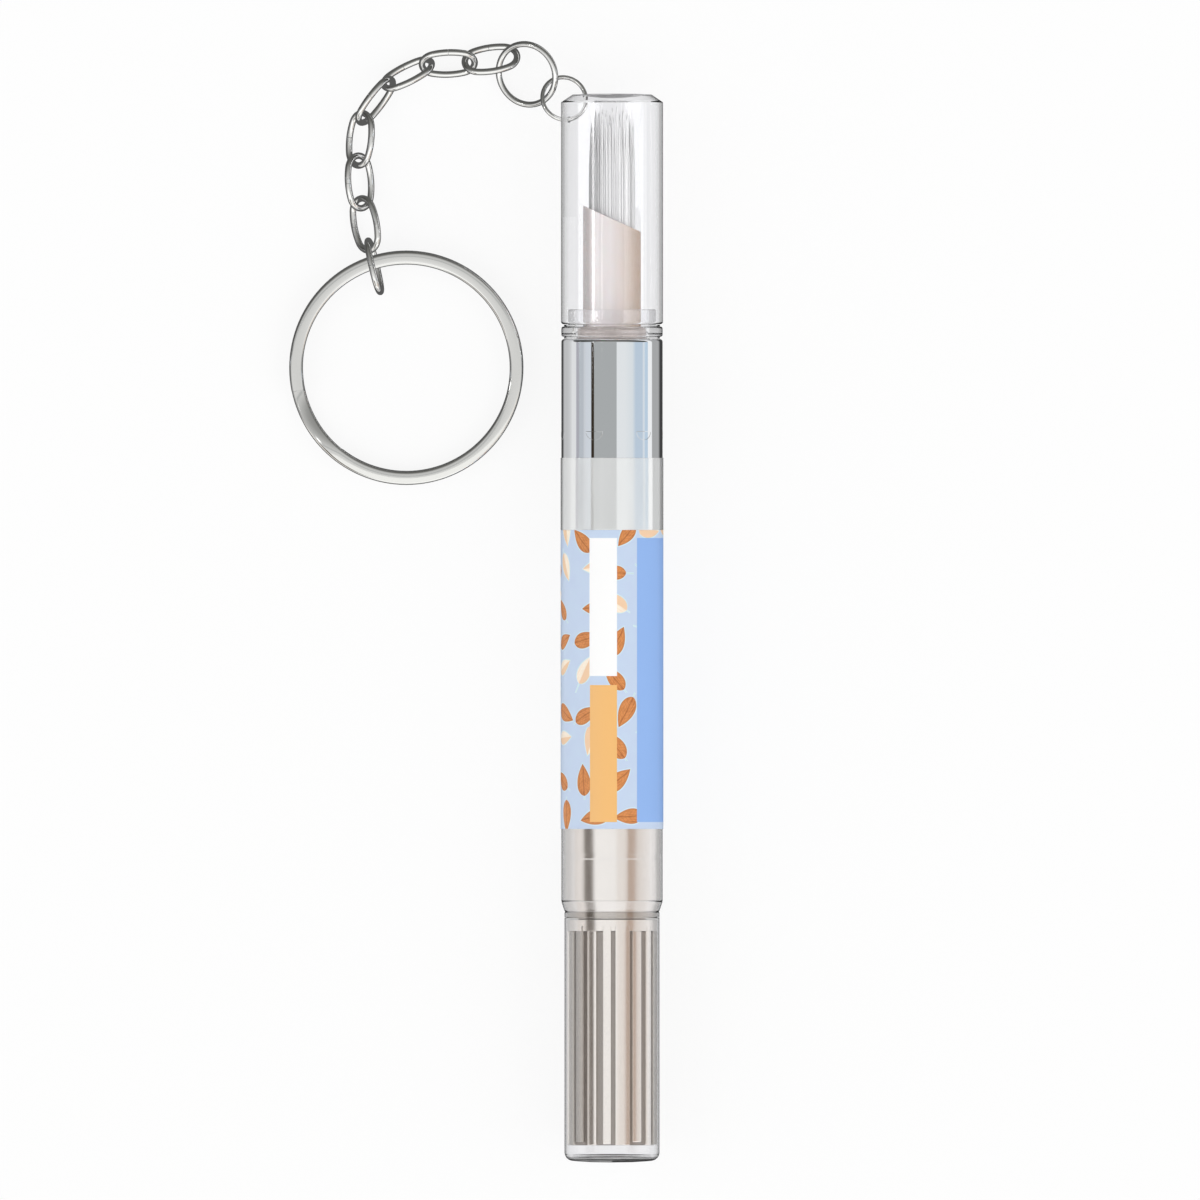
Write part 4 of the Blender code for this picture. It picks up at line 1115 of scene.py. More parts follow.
@dataclass
class Barrel(Turner):
    """The barrel: inner reservoir, mirror-silver sleeve, printed label and milky band."""

    radius: float = 0.00648
    sleeve_bore: float = 0.00598
    sleeve_start: float = 0.0442
    sleeve_end: float = 0.1054
    sleeve_edge: float = 0.00036
    reservoir_radius: float = 0.00583
    reservoir_bore: float = 0.00493
    reservoir_edge: float = 0.00025
    lower_bore: float = 0.00523
    reservoir_start: float = 0.0388
    bore_step: float = 0.0507
    reservoir_end: float = 0.1044
    film_bore: float = 0.00651
    film_radius: float = 0.006575
    film_start: float = 0.0427
    print_end: float = 0.08096
    print_gap: float = 0.00000875
    film_end: float = 0.0902
    mark_count: int = 6
    mark_angle: float = math.radians(-20.8)
    mark_station: float = 0.0935
    mark_width: float = 0.0023
    mark_height: float = 0.0010
    mark_wire: float = 0.00007
    mark_chamfer: float = 0.00000875
    mark_sink_share: float = 0.2
    mark_sides: int = 8
    mark_steps: int = 12

    def build_reservoir(self, finishes: Finishes) -> None:
        """Build the satin reservoir inside the sleeve."""
        section = (
            Corner(self.reservoir_radius, self.reservoir_end, SOFT),
            Corner(self.reservoir_radius, self.reservoir_start, self.reservoir_edge),
            Corner(self.lower_bore, self.reservoir_start),
            Corner(self.lower_bore, self.bore_step),
            Corner(self.reservoir_bore, self.bore_step),
            Corner(self.reservoir_bore, self.reservoir_end),
        )
        self.turn("reservoir_tube", section, finishes.satin, Slot.SATIN, "inner_barrel")

    def add_mark(self, shape: Shape, angle: float) -> None:
        """Add one shallow cup-shaped mark that the clip inside leaves on the sleeve.

        Args:
            shape: The marks so far.
            angle: Where it is round the sleeve.
        """
        half = self.mark_width / 2
        bow, edges = wire_start(self.mark_wire, Vector((half, 0, 0)), self.mark_sides)
        run_round(bow, edges, ORIGIN, -math.pi, 2 * self.mark_steps)
        line, edges = wire_start(self.mark_wire, ORIGIN, self.mark_sides)
        turn_shape(line, math.pi / 2, "Z")
        bmesh.ops.translate(line, verts=line.verts, vec=(-half, self.mark_wire, 0))
        for _ in range(self.mark_steps):
            edges = run_straight(line, edges, Vector((self.mark_width / self.mark_steps, 0, 0)))
        for part in (bow, line):
            close_wire(part, self.mark_chamfer)
        flat = Matrix.Diagonal((1.0, self.mark_height / half, 1.0, 1.0))
        bmesh.ops.transform(bow, matrix=flat, verts=bow.verts)
        place = Matrix.Translation(self.line.centre(self.mark_station)) @ Matrix.Rotation(angle, 4, "Y")
        for part in (bow, line):
            for vert in part.verts:
                bend = vert.co.x / self.radius
                out = self.radius - self.mark_wire * self.mark_sink_share + vert.co.z
                vert.co = Vector((out * math.sin(bend), vert.co.y, out * math.cos(bend)))
            bmesh.ops.transform(part, matrix=place, verts=part.verts)
            mesh = bpy.data.meshes.new("mark")
            part.to_mesh(mesh)
            part.free()
            shape.from_mesh(mesh)
            bpy.data.meshes.remove(mesh)

    def build_sleeve(self, finishes: Finishes) -> None:
        """Build the mirror sleeve and its clip marks."""
        section = tube(self.radius, self.sleeve_bore, self.sleeve_start, self.sleeve_end, self.sleeve_edge)
        self.turn("mirror_sleeve", section, finishes.mirror, Slot.MIRROR, "outer_sleeve")
        marks = bmesh.new()
        for number in range(self.mark_count):
            self.add_mark(marks, self.mark_angle + 2 * math.pi * number / self.mark_count)
        piece = finish_object("sleeve_clip_marks", marks, finishes.mirror)
        place_piece(piece, self.body.value, Slot.MIRROR)

    def wrap(self, piece: Piece) -> None:
        """Unwrap a turned piece: millimetres round the pen from its top, and along it."""
        mesh = piece.data
        layer = mesh.uv_layers.new(name=WRAP)
        for face in mesh.polygons:
            middle = math.atan2(face.center.x - self.line.x, face.center.z - self.line.z)
            for corner in face.loop_indices:
                place = mesh.vertices[mesh.loops[corner].vertex_index].co
                angle = math.atan2(place.x - self.line.x, place.z - self.line.z)
                if abs(angle - middle) > math.pi:
                    angle += math.copysign(2 * math.pi, middle)
                around = angle * self.film_radius / MILLIMETRE
                layer.data[corner].uv = (around, (place.y - self.line.start) / MILLIMETRE)

    def build_film(self, finishes: Finishes) -> None:
        """Build the printed label and the film's bare band above it."""
        printed = tube(self.film_radius, self.film_bore, self.film_start, self.print_end, HAIRLINE)
        self.wrap(self.turn("printed_label", printed, finishes.label, Slot.FILM, "label_film"))
        bare_start = self.print_end + self.print_gap
        bare = tube(self.film_radius, self.film_bore, bare_start, self.film_end, HAIRLINE)
        self.turn("frosted_film_band", bare, finishes.band, Slot.FILM, "label_film")

    def build(self, finishes: Finishes) -> None:
        """Build the barrel."""
        self.build_reservoir(finishes)
        self.build_sleeve(finishes)
        self.build_film(finishes)


@dataclass
class Neck(Turner):
    """The clear neck collar and the ivory brush holder."""

    radius: float = 0.00648
    start: float = 0.1057
    end: float = 0.1070
    spigot_radius: float = 0.00561
    spigot_bore: float = 0.00481
    spigot_end: float = 0.1092
    spigot_edge: float = 0.00015
    neck_radius: float = 0.00614
    neck_start: float = 0.10544
    neck_end: float = 0.10724
    corner: float = 0.00026
    plug_radius: float = 0.00478
    plug_bore: float = 0.00318
    plug_start: float = 0.1012
    seat: float = 0.10542
    seat_bore: float = 0.00461
    flange_radius: float = 0.00441
    flange_start: float = 0.10546
    flange_end: float = 0.1066
    holder_radius: float = 0.00371
    holder_bore: float = 0.00311
    stem_radius: float = 0.00303
    stem_start: float = 0.1015
    tube_bore: float = 0.0011
    socket_floor: float = 0.1146
    cut_station: float = 0.1208
    cut_angle: float = math.radians(24.7)
    cut_round: float = 0.00007
    holder_top: float = 0.1250

    def build_collar(self, finishes: Finishes) -> None:
        """Build the clear collar, with the spigot that the cap pushes on to and the plug below it."""
        section = (
            Corner(self.spigot_radius, self.spigot_end, self.spigot_edge),
            Corner(self.spigot_radius, self.neck_end, FINE),
            Corner(self.neck_radius, self.neck_end, SLIGHT),
            Corner(self.neck_radius, self.end),
            Corner(self.radius, self.end, self.corner),
            Corner(self.radius, self.start, self.corner),
            Corner(self.neck_radius, self.start),
            Corner(self.neck_radius, self.neck_start, SLIGHT),
            Corner(self.plug_radius, self.neck_start, FINE),
            Corner(self.plug_radius, self.plug_start, 2 * SOFT),
            Corner(self.plug_bore, self.plug_start),
            Corner(self.plug_bore, self.seat),
            Corner(self.seat_bore, self.seat),
            Corner(self.spigot_bore, self.end),
            Corner(self.spigot_bore, self.spigot_end, SOFT),
        )
        self.turn("neck_clear_collar", section, finishes.clear, Slot.CLEAR, "neck_collar")

    def build_holder(self, finishes: Finishes) -> None:
        """Build the brush holder and cut its mouth at an angle."""
        section = (
            Corner(self.holder_radius, self.holder_top),
            Corner(self.holder_radius, self.flange_end, FULL),
            Corner(self.flange_radius, self.flange_end, SOFT),
            Corner(self.flange_radius, self.flange_start, SOFT),
            Corner(self.stem_radius, self.flange_start),
            Corner(self.stem_radius, self.stem_start, SOFT),
            Corner(self.tube_bore, self.stem_start),
            Corner(self.tube_bore, self.socket_floor),
            Corner(self.holder_bore, self.socket_floor, 2 * SOFT),
            Corner(self.holder_bore, self.holder_top),
        )
        shape = turned_shape(self.line, section)
        bmesh.ops.bisect_plane(
            shape,
            geom=shape.verts[:] + shape.edges[:] + shape.faces[:],
            plane_co=self.line.centre(self.cut_station),
            plane_no=Vector((math.sin(self.cut_angle), math.cos(self.cut_angle), 0)),
            clear_outer=True,
        )
        rims = [edge for edge in shape.edges if edge.is_boundary]
        bmesh.ops.bridge_loops(shape, edges=rims)
        bmesh.ops.recalc_face_normals(shape, faces=shape.faces)
        round_off(shape, rims, self.cut_round, 2)
        # Painted shade: the flange's faces take the darker copy of the ivory plastic
        flange_top = self.line.start + self.flange_end + HAIRLINE
        for face in shape.faces:
            face.material_index = int(face.calc_center_median().y < flange_top)
        holder = finish_object("brush_holder_nozzle", shape, finishes.ivory, finishes.flange_painted_shade)
        place_piece(holder, self.body.value, Slot.IVORY, "brush_holder")

    def build(self, finishes: Finishes) -> None:
        """Build the neck."""
        self.build_collar(finishes)
        self.build_holder(finishes)


@dataclass
class Brush(Turner):
    """The brush: fine tapered hairs that gather into small points."""

    hair_count: int = 1700
    hair_radius: float = 0.000056
    hair_sides: int = 3
    bundle_radius: float = 0.00288
    root: float = 0.1152
    belly: float = 0.1270
    tip: float = 0.1353
    tip_spread: float = 0.0002
    taper_share: float = 0.4
    belly_share: float = 1.02
    tip_share: float = 0.92
    gather_power: float = 1.6
    clump_pull: float = 0.95
    clump_slope: float = 2.6
    clump_depth_share: float = 0.6
    streak_width: float = 0.00024
    side_slope: float = 1.8
    # Painted shade: hairs darker towards the bundle's left and right sides, past these starts
    left_shade_start: float = 0.5
    right_shade_start: float = 0.8
    # Shares of the tone: random, clump streak, painted shade on the left, painted shade on the right
    tone_shares: tuple[float, ...] = (0.3, 0.45, 1.2, 0.36)
    tone_drop: float = 0.34
    clump_places: tuple[float, ...] = (
        -0.00272, -0.00226, -0.00179, -0.00135, -0.00080, -0.00030, 0.00004,
        0.00065, 0.00110, 0.00155, 0.00204, 0.00240, 0.0028,
    )
    clump_drops: tuple[float, ...] = (
        0.0020, 0.00045, 0.0006, 0.0002, 0.0004, 0.0010, 0.0001,
        0.0, 0.0009, 0.0002, 0.0010, 0.0018, 0.0024,
    )
    steps: int = 9

    def roots(self) -> np.ndarray:
        """Spread the hairs' roots evenly over the bundle, each row with its two coordinates."""
        number = np.arange(self.hair_count)
        reach = self.bundle_radius * np.sqrt((number + 0.5) / self.hair_count)
        angle = number * math.pi * (3 - math.sqrt(5))
        return np.stack((reach * np.cos(angle), reach * np.sin(angle)), axis=1)

    def hair_lines(self) -> np.ndarray:
        """Lay out every hair.

        Returns:
            For each hair, its points from root to tip as offsets from the axis and stations.
        """
        random = np.random.default_rng(7)
        roots = self.roots()
        roots += random.normal(0, self.hair_radius / 2, roots.shape)
        places, drops = np.array(self.clump_places), np.array(self.clump_drops)
        clumps = np.stack(np.meshgrid(places, -places), axis=-1).reshape(-1, 2)
        clump_short = np.add.outer(drops * self.clump_depth_share, drops).reshape(-1)
        nearest = np.linalg.norm(roots[:, None] - clumps[None], axis=2).argmin(axis=1)
        from_clump = np.linalg.norm(roots - clumps[nearest], axis=1)
        short = clump_short[nearest] + from_clump * self.clump_slope
        ends = self.tip - short - random.uniform(0, self.tip_spread, self.hair_count)
        pulled = roots + (clumps[nearest] - roots) * self.clump_pull
        pulled += random.normal(0, self.hair_radius * 0.5, roots.shape)
        lines = []
        for share in np.linspace(0, 1, self.steps):
            station = self.root + (ends - self.root) * share
            swell = 1 + (self.belly_share - 1) * np.sin(math.pi * np.clip(share * 1.1, 0, 1))
            gather = np.clip((station - self.belly) / (self.tip - self.belly), 0, 1)[:, None]
            gather = gather ** self.gather_power
            across = (roots * (1 - gather) + pulled * self.tip_share * gather) * swell
            lines.append(np.column_stack((across, station)))
        return np.stack(lines, axis=1)

    def ring(self, point: np.ndarray, number: int, reach: float) -> list[Vector]:
        """Give the corners of a hair's section.

        Args:
            point: The hair's two offsets from the axis and its station there.
            number: The hair's number, which turns its section.
            reach: The section's radius.

        Returns:
            The corners in order.
        """
        across, depth, station = point
        angles = [2 * math.pi * side / self.hair_sides + number for side in range(self.hair_sides)]
        middle = self.line.centre(station) + Vector((across, 0, depth))
        return [middle + Vector((reach * math.cos(angle), 0, reach * math.sin(angle))) for angle in angles]

    def build(self, finishes: Finishes) -> None:
        """Build the hairs, each a closed three-sided taper."""
        lines = self.hair_lines()
        shape = bmesh.new()
        hair_of = shape.faces.layers.int.new("hair")
        for number in range(self.hair_count):
            corners = self.ring(lines[number, 0], number, self.hair_radius)
            shape.faces.new([shape.verts.new(corner) for corner in corners])[hair_of] = number
        tops = shape.faces[:]
        floor = bmesh.ops.duplicate(shape, geom=tops)["geom"]
        bmesh.ops.reverse_faces(shape, faces=only(Face, floor))
        for step in range(1, self.steps):
            tops = bmesh.ops.extrude_discrete_faces(shape, faces=tops)["faces"]
            taper = 1.0 - self.taper_share * (step / (self.steps - 1)) ** 4
            for face in tops:
                number = face[hair_of]
                corners = self.ring(lines[number, step], number, self.hair_radius * taper)
                for vert, corner in zip(face.verts, corners):
                    vert.co = corner
        bmesh.ops.remove_doubles(shape, verts=shape.verts, dist=WELD)
        bmesh.ops.recalc_face_normals(shape, faces=shape.faces)
        hairs = finish_object("brush_hairs", shape, finishes.fibre)
        self.shade(hairs, lines[:, 0, 0])
        place_piece(hairs, self.body.value, Slot.FIBRE, "brush_bristles")

    def shade(self, hairs: Piece, across: np.ndarray) -> None:
        """Give each hair its own shade: a random tone, darker streaks at the clumps, and painted shade
        towards the bundle's left and right sides.

        Args:
            hairs: The brush.
            across: How far to the right of the axis each hair's root is.
        """
        mesh = hairs.data
        number = np.zeros(len(mesh.polygons), np.int32)
        mesh.attributes["hair"].data.foreach_get("value", number)
        random = np.random.default_rng(11)
        aside = across / self.bundle_radius * self.side_slope
        # Painted shade towards the bundle's left side
        left_shade = np.clip(-aside - self.left_shade_start, 0, 1)
        gap = np.abs(across[:, None] - np.array(self.clump_places)[None]).min(axis=1)
        streak = 1 - np.clip(gap / self.streak_width, 0, 1)
        # Painted shade towards the bundle's right side
        dim = np.clip(aside - self.right_shade_start, 0, 1)
        chance = random.uniform(0, 1, self.hair_count)
        parts = zip(self.tone_shares, (chance, streak, left_shade, dim))
        tone = sum(share * part for share, part in parts) - self.tone_drop
        layer = mesh.attributes.new("shade", "FLOAT", "FACE")
        layer.data.foreach_set("value", np.clip(tone, 0, 1)[number].astype(np.float32))


@dataclass
class Cap(Turner):
    """The clear cap, with two small holes for its ring."""

    body: Body = Body.CAP
    radius: float = 0.00653
    wall: float = 0.00046
    start: float = 0.1073
    end: float = 0.1368
    top: float = 0.00012
    mouth_edge: float = 0.00035
    dish_radius: float = 0.0030
    chamfer_height: float = 0.0011
    chamfer_depth: float = 0.00148
    chamfer_edge: float = 0.00006
    inner_rise: float = 0.00013
    inner_inset: float = 0.00024
    ring_radius: float = 0.0031
    ring_wire: float = 0.00054
    hole_play: float = 0.00012
    hole_sides: int = 32
    overrun: float = 0.002
    disc_radius: float = 0.0044
    disc_depth: float = 0.0005

    def hole_places(self) -> list[tuple[Vector, Vector]]:
        """Find where the small ring passes through the cap's top and side.

        Returns:
            Each hole's centre and direction.
        """
        ring = level_axes("small_jump_ring")
        turn = ring.to_3x3()
        middle_radius = self.radius - self.wall / 2
        middle_top = self.line.start + self.end - self.top / 2
        inward = turn.transposed() @ (self.line.centre(self.end) - ring.translation)
        found = []
        for way in (1, -1):
            angle = math.atan2(inward.y, inward.x)
            inside = True
            while inside:
                angle += way * HOLE_SEARCH_STEP
                radial = turn @ Vector((math.cos(angle), math.sin(angle), 0))
                place = ring.translation + radial * (self.ring_radius - self.ring_wire / 2)
                across = math.hypot(place.x - self.line.x, place.z - self.line.z)
                inside = across < middle_radius and place.y < middle_top
            found.append((place, turn @ Vector((-math.sin(angle), math.cos(angle), 0))))
        return found

    def drill(self, cap: Piece, finishes: Finishes) -> None:
        """Drill the small ring's holes through the cap.

        Args:
            cap: The cap.
            finishes: The finishes.
        """
        cutters = []
        for place, way in self.hole_places():
            shape = bmesh.new()
            turn = Vector((0, 0, 1)).rotation_difference(way).to_matrix().to_4x4()
            bmesh.ops.create_cone(
                shape,
                cap_ends=True,
                segments=self.hole_sides,
                radius1=self.ring_wire / 2 + self.hole_play,
                radius2=self.ring_wire / 2 + self.hole_play,
                depth=self.top + self.wall + self.overrun,
                matrix=Matrix.Translation(place) @ turn,
            )
            cutters.append(finish_object("hole_cutter", shape, finishes.clear))
            hole = cap.modifiers.new("hole", "BOOLEAN")
            hole.operation = "DIFFERENCE"
            hole.solver = "EXACT"
            hole.object = cutters[-1]
        settle(cap)
        for cutter in cutters:
            bpy.data.objects.remove(cutter, do_unlink=True)

    def build(self, finishes: Finishes) -> None:
        """Build the cap, drill it, and hang a grey disc of painted shade under its top."""
        bore = self.radius - self.wall
        shoulder = self.radius - self.chamfer_depth
        chamfer_start = self.end - self.chamfer_height
        inner_top = self.end - self.top
        section = (
            Corner(0, self.end),
            Corner(self.dish_radius, self.end - HAIRLINE),
            Corner(shoulder, self.end - SOFT, SMALL),
            Corner(self.radius, chamfer_start, self.chamfer_edge),
            Corner(self.radius, self.start, self.mouth_edge),
            Corner(bore, self.start, SOFT),
            Corner(bore, chamfer_start + self.inner_rise, SOFT),
            Corner(shoulder - self.inner_inset, inner_top, SMALL),
            Corner(0, inner_top),
        )
        cap = finish_object("clear_cap", turned_shape(self.line, section), finishes.clear)
        self.drill(cap, finishes)
        place_piece(cap, self.body.value, Slot.CLEAR, "cap")
        # A grey disc of painted shade under the cap's top
        disc = lens(self.disc_radius, inner_top - SLIGHT, -self.disc_depth)
        self.turn("cap_top_shade_disc", disc, finishes.painted_shade_disc, Slot.CLEAR)


@dataclass(frozen=True)
class JumpRing:
    """A jump ring of round wire: its piece, solid and body, its outer radius and its wire's diameter."""

    name: str
    node: str
    body: Body
    radius: float
    wire: float


@dataclass
class Chain:
    """The two jump rings and the eight links."""

    rings: tuple[JumpRing, ...] = (
        JumpRing("small_ring_wire", "small_jump_ring", Body.SMALL_RING, 0.0031, 0.00054),
        JumpRing("large_ring_wire", "large_jump_ring", Body.LARGE_RING, 0.004362, 0.00078),
    )
    link_length: float = 0.0076
    link_width: float = 0.0050
    link_wire: float = 0.00085
    link_count: int = 8
    link_bow: float = math.radians(15)
    seam: float = 0.00002
    ring_steps: int = 96
    ring_seam_angle: float = math.radians(75)
    chamfer: float = 0.00002

    def build_ring(self, ring: JumpRing, finishes: Finishes) -> None:
        """Bend a jump ring from round wire, its ends nearly touching.

        Args:
            ring: The ring's sizes and names.
            finishes: The finishes.
        """
        middle = ring.radius - ring.wire / 2
        shape, edges = wire_start(ring.wire, Vector((middle, 0, 0)))
        run_round(shape, edges, ORIGIN, 2 * math.pi - self.seam / middle, self.ring_steps)
        close_wire(shape, self.chamfer)
        place = level_axes(ring.node) @ Matrix.Rotation(self.ring_seam_angle, 4, "Z")
        bmesh.ops.transform(shape, matrix=place, verts=shape.verts)
        place_piece(finish_object(ring.name, shape, finishes.wire), ring.body.value, Slot.WIRE, ring.node)

    def link_shape(self) -> Shape:
        """Bend a link from round wire, with bowed sides and its seam halfway along one of them.

        Returns:
            The link, lying along X in the XY plane.
        """
        half_width = (self.link_width - self.link_wire) / 2
        half_length = (self.link_length - self.link_wire) / 2
        cosine, sine = math.cos(self.link_bow), math.sin(self.link_bow)
        flat = 1 - cosine
        end = (half_width / flat - half_length / sine) / (cosine / flat + 1 - 1 / sine)
        side = (half_width - end * cosine) / flat
        end_centre = Vector((half_length - end, 0, 0))
        side_centre = Vector((0, side - half_width, 0))
        shape, edges = wire_start(self.link_wire)
        turn_shape(shape, -math.pi / 2, "Z")
        bmesh.ops.translate(shape, verts=shape.verts, vec=(0, -half_width, 0))
        start = self.seam / 2 / side
        turn_shape(shape, start, "Z", side_centre)
        bends = (
            (side_centre, self.link_bow - start, 5),
            (end_centre, math.pi - 2 * self.link_bow, 22),
            (-side_centre, 2 * self.link_bow, 10),
            (-end_centre, math.pi - 2 * self.link_bow, 22),
            (side_centre, self.link_bow - start, 5),
        )
        for centre, angle, steps in bends:
            edges = run_round(shape, edges, centre, angle, steps)
        close_wire(shape, self.chamfer)
        return shape

    def build(self, finishes: Finishes) -> None:
        """Build the rings and the links."""
        for ring in self.rings:
            self.build_ring(ring, finishes)
        for number in range(1, self.link_count + 1):
            node = f"chain_link_{number}"
            shape = self.link_shape()
            bmesh.ops.transform(shape, matrix=main_axes(node), verts=shape.verts)
            link = finish_object(f"link_wire_{number}", shape, finishes.wire)
            place_piece(link, f"link_{number}", Slot.WIRE, node)


@dataclass
class KeyRing:
    """The split ring: flat wire wound twice, with a short climb between its turns."""

    radius: float = 0.01499
    wire_width: float = 0.00175
    wire_height: float = 0.00082
    wire_round: float = 0.00037
    chamfer_share: float = 1 / 9
    turn_gap: float = 0.00044
    seam: float = math.radians(192)
    crossover: float = math.radians(40)
    tilt: tuple[float, float] = (math.radians(2.45), math.radians(-0.3))
    level_steps: int = 110
    climb_steps: int = 16

    def wire_section(self) -> Shape:
        """Draw the flat wire's rounded section, which faces along +Y.

        Returns:
            The section's edges, round the origin.
        """
        shape = bmesh.new()
        bmesh.ops.create_circle(shape, cap_ends=True, segments=4, radius=math.sqrt(0.5))
        turn_shape(shape, math.pi / 4, "Z")
        bmesh.ops.scale(shape, verts=shape.verts, vec=(self.wire_width, self.wire_height, 1))
        round_off(shape, shape.verts[:], self.wire_round, ROUND_STEPS, "VERTICES")
        bmesh.ops.delete(shape, geom=shape.faces[:], context="FACES_ONLY")
        turn_shape(shape, math.pi / 2, "X")
        return shape

    def build(self, finishes: Finishes) -> None:
        """Build the split ring."""
        rise = self.wire_height + self.turn_gap
        shape = self.wire_section()
        middle = (self.radius - self.wire_width / 2, 0, -rise / 2)
        bmesh.ops.translate(shape, verts=shape.verts, vec=middle)
        level = 2 * math.pi - self.crossover
        edges = run_round(shape, shape.edges[:], ORIGIN, level, self.level_steps)
        done = 0.0
        for step in range(1, self.climb_steps + 1):
            share = step / self.climb_steps
            height = rise * share * share * (3 - 2 * share)
            edges = run_round(shape, edges, ORIGIN, self.crossover / self.climb_steps, 1, height - done)
            done = height
        run_round(shape, edges, ORIGIN, level, self.level_steps)
        close_wire(shape, self.wire_round * self.chamfer_share)
        low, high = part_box("split_ring")
        place = Matrix.Translation((low + high) / 2)
        turns = (*zip(self.tilt, "XY"), (self.seam + self.crossover, "Z"))
        for angle, axis in turns:
            place = place @ Matrix.Rotation(angle, 4, axis)
        bmesh.ops.transform(shape, matrix=place, verts=shape.verts)
        ring = finish_object("key_ring_wire", shape, finishes.wire)
        place_piece(ring, Body.KEY_RING.value, Slot.WIRE, "split_ring")


@dataclass
class Drive:
    """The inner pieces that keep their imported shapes."""

    ivory: tuple[str, ...] = (
        "feed_tube", "drive_nut", "drive_sleeve", "ratchet_pawl_ring", "screw_spindle", "piston"
    )
    grey: tuple[str, ...] = ("ratchet_ring",)
    rubber: tuple[str, ...] = ("piston_seal_front", "piston_seal_rear")

    def build(self, finishes: Finishes) -> None:
        """Give each inner piece its finish."""
        kept = ((self.ivory, finishes.ivory), (self.grey, finishes.grey), (self.rubber, finishes.rubber))
        for nodes, material in kept:
            for node in nodes:
                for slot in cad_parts[node].material_slots:
                    slot.link = "OBJECT"
                    slot.material = material
                LOG.info("%s keeps its packed shape", node)


# Strips of light: an angle from straight up in degrees, a colour in bare silver, and a level where it isn't 1
Strip = tuple[float, str] | tuple[float, str, float]
SLEEVE_STRIPS: tuple[Strip, ...] = (
    (-180, "d4d6da"), (-95, "d4d6da"), (-94, "b2b1b8"), (-88, "b2b1b8"),
    (-87, "a8a7ae"), (-82, "a8a7ae"), (-80.6, "b4b9be"), (-69, "b6bac0"),
    (-68, "c5c8cc"), (-61, "cbcfd5"), (-49, "cdd2d8"), (-48.4, "332b22"),
    (-42, "332b22"), (-41.2, "a6a8a8"), (10.2, "a6a8a8"), (10.8, "dfe1e2"),
    (29, "dfe1e2"), (48, "d6dbde"), (56, "b9c7d5"), (74, "b9c7d5"),
    (76, "d3dae0"), (80, "d3dae0"), (81, "b9cbdb"), (93, "b9cbdb"),
    (94.5, "e3e6e8"), (180, "e3e6e8"),
)
WIRE_STRIPS: tuple[Strip, ...] = (
    (-180, "5c5c5c"), (-94, "6c6c6c"), (-84, "a4a4a2"), (-70, "dadad8"),
    (-62, "ffffff", 1.15), (-21, "ffffff", 1.15), (-13, "dcdcdb"), (-7, "d2d2d1"),
    (0, "cacac9"), (14, "969695"), (34, "6e6e6b"), (60, "585856"),
    (86, "545452"), (180, "545452"),
)
TAIL_STRIPS: tuple[Strip, ...] = (
    (-180, "a39d98"), (-95, "d8d4d0"), (-80, "e8e5e2"), (-70, "e0dcd8"),
    (-63, "655e57"), (-46, "655e57"), (-39, "efefed"), (9, "efefed"),
    (12, "e4e0db"), (32, "e2ddd8"), (38, "b19c8c"), (51, "b4a092"),
    (60, "d8d2cc"), (86, "e8e6e4"), (180, "e8e6e4"),
)


def hide_from_camera(piece: Piece) -> None:
    """Let only gleams and clear plastic see a piece of the studio."""
    piece.visible_camera = False
    piece.visible_diffuse = False
    piece.visible_shadow = False


@dataclass(frozen=True)
class FarStrip:
    """A glowing strip far off, which shows as one upright line in the cap's clear wall."""

    name: str
    inner: float
    outer: float
    strength: float
    distance: float = 0.6
    reach: float = 0.596

    def build(self, line: PenLine, radius: float, start: float, end: float) -> None:
        """Build the strip.

        Args:
            line: The pen's axis.
            radius: The radius of the wall that shows it.
            start: The line's first station.
            end: The line's last station.
        """
        shape = bmesh.new()
        ends = []
        for across in (self.inner, self.outer):
            lean = math.asin(across / radius)
            away = Vector((math.sin(2 * lean), 0, math.cos(2 * lean))) * self.distance
            wall = line.centre(start) + Vector((across, 0, radius * math.cos(lean)))
            ends.append(shape.verts.new(wall + away))
        grown = bmesh.ops.extrude_edge_only(shape, edges=[shape.edges.new(ends)])["geom"]
        bmesh.ops.translate(shape, verts=only(Vert, grown), vec=(0, end - start, 0))
        material, graph = new_material(self.name)
        far = graph.over(graph.add("LightPath").outputs["Ray Length"], self.reach)
        graph.finish(graph.shine("Emission", WHITE, graph.times(far, self.strength)))
        hide_from_camera(finish_object(self.name, shape, material))


@dataclass(frozen=True)
class Fade:
    """How the floor's light changes as a distance grows from near to far."""

    near: float
    far: float
    start: float = 0.0
    end: float = 1.0

    def draw(self, graph: Graph, distance: Socket) -> Socket:
        """Give the light at a distance."""
        return graph.ramp(distance, self.near, self.far, self.start, self.end)


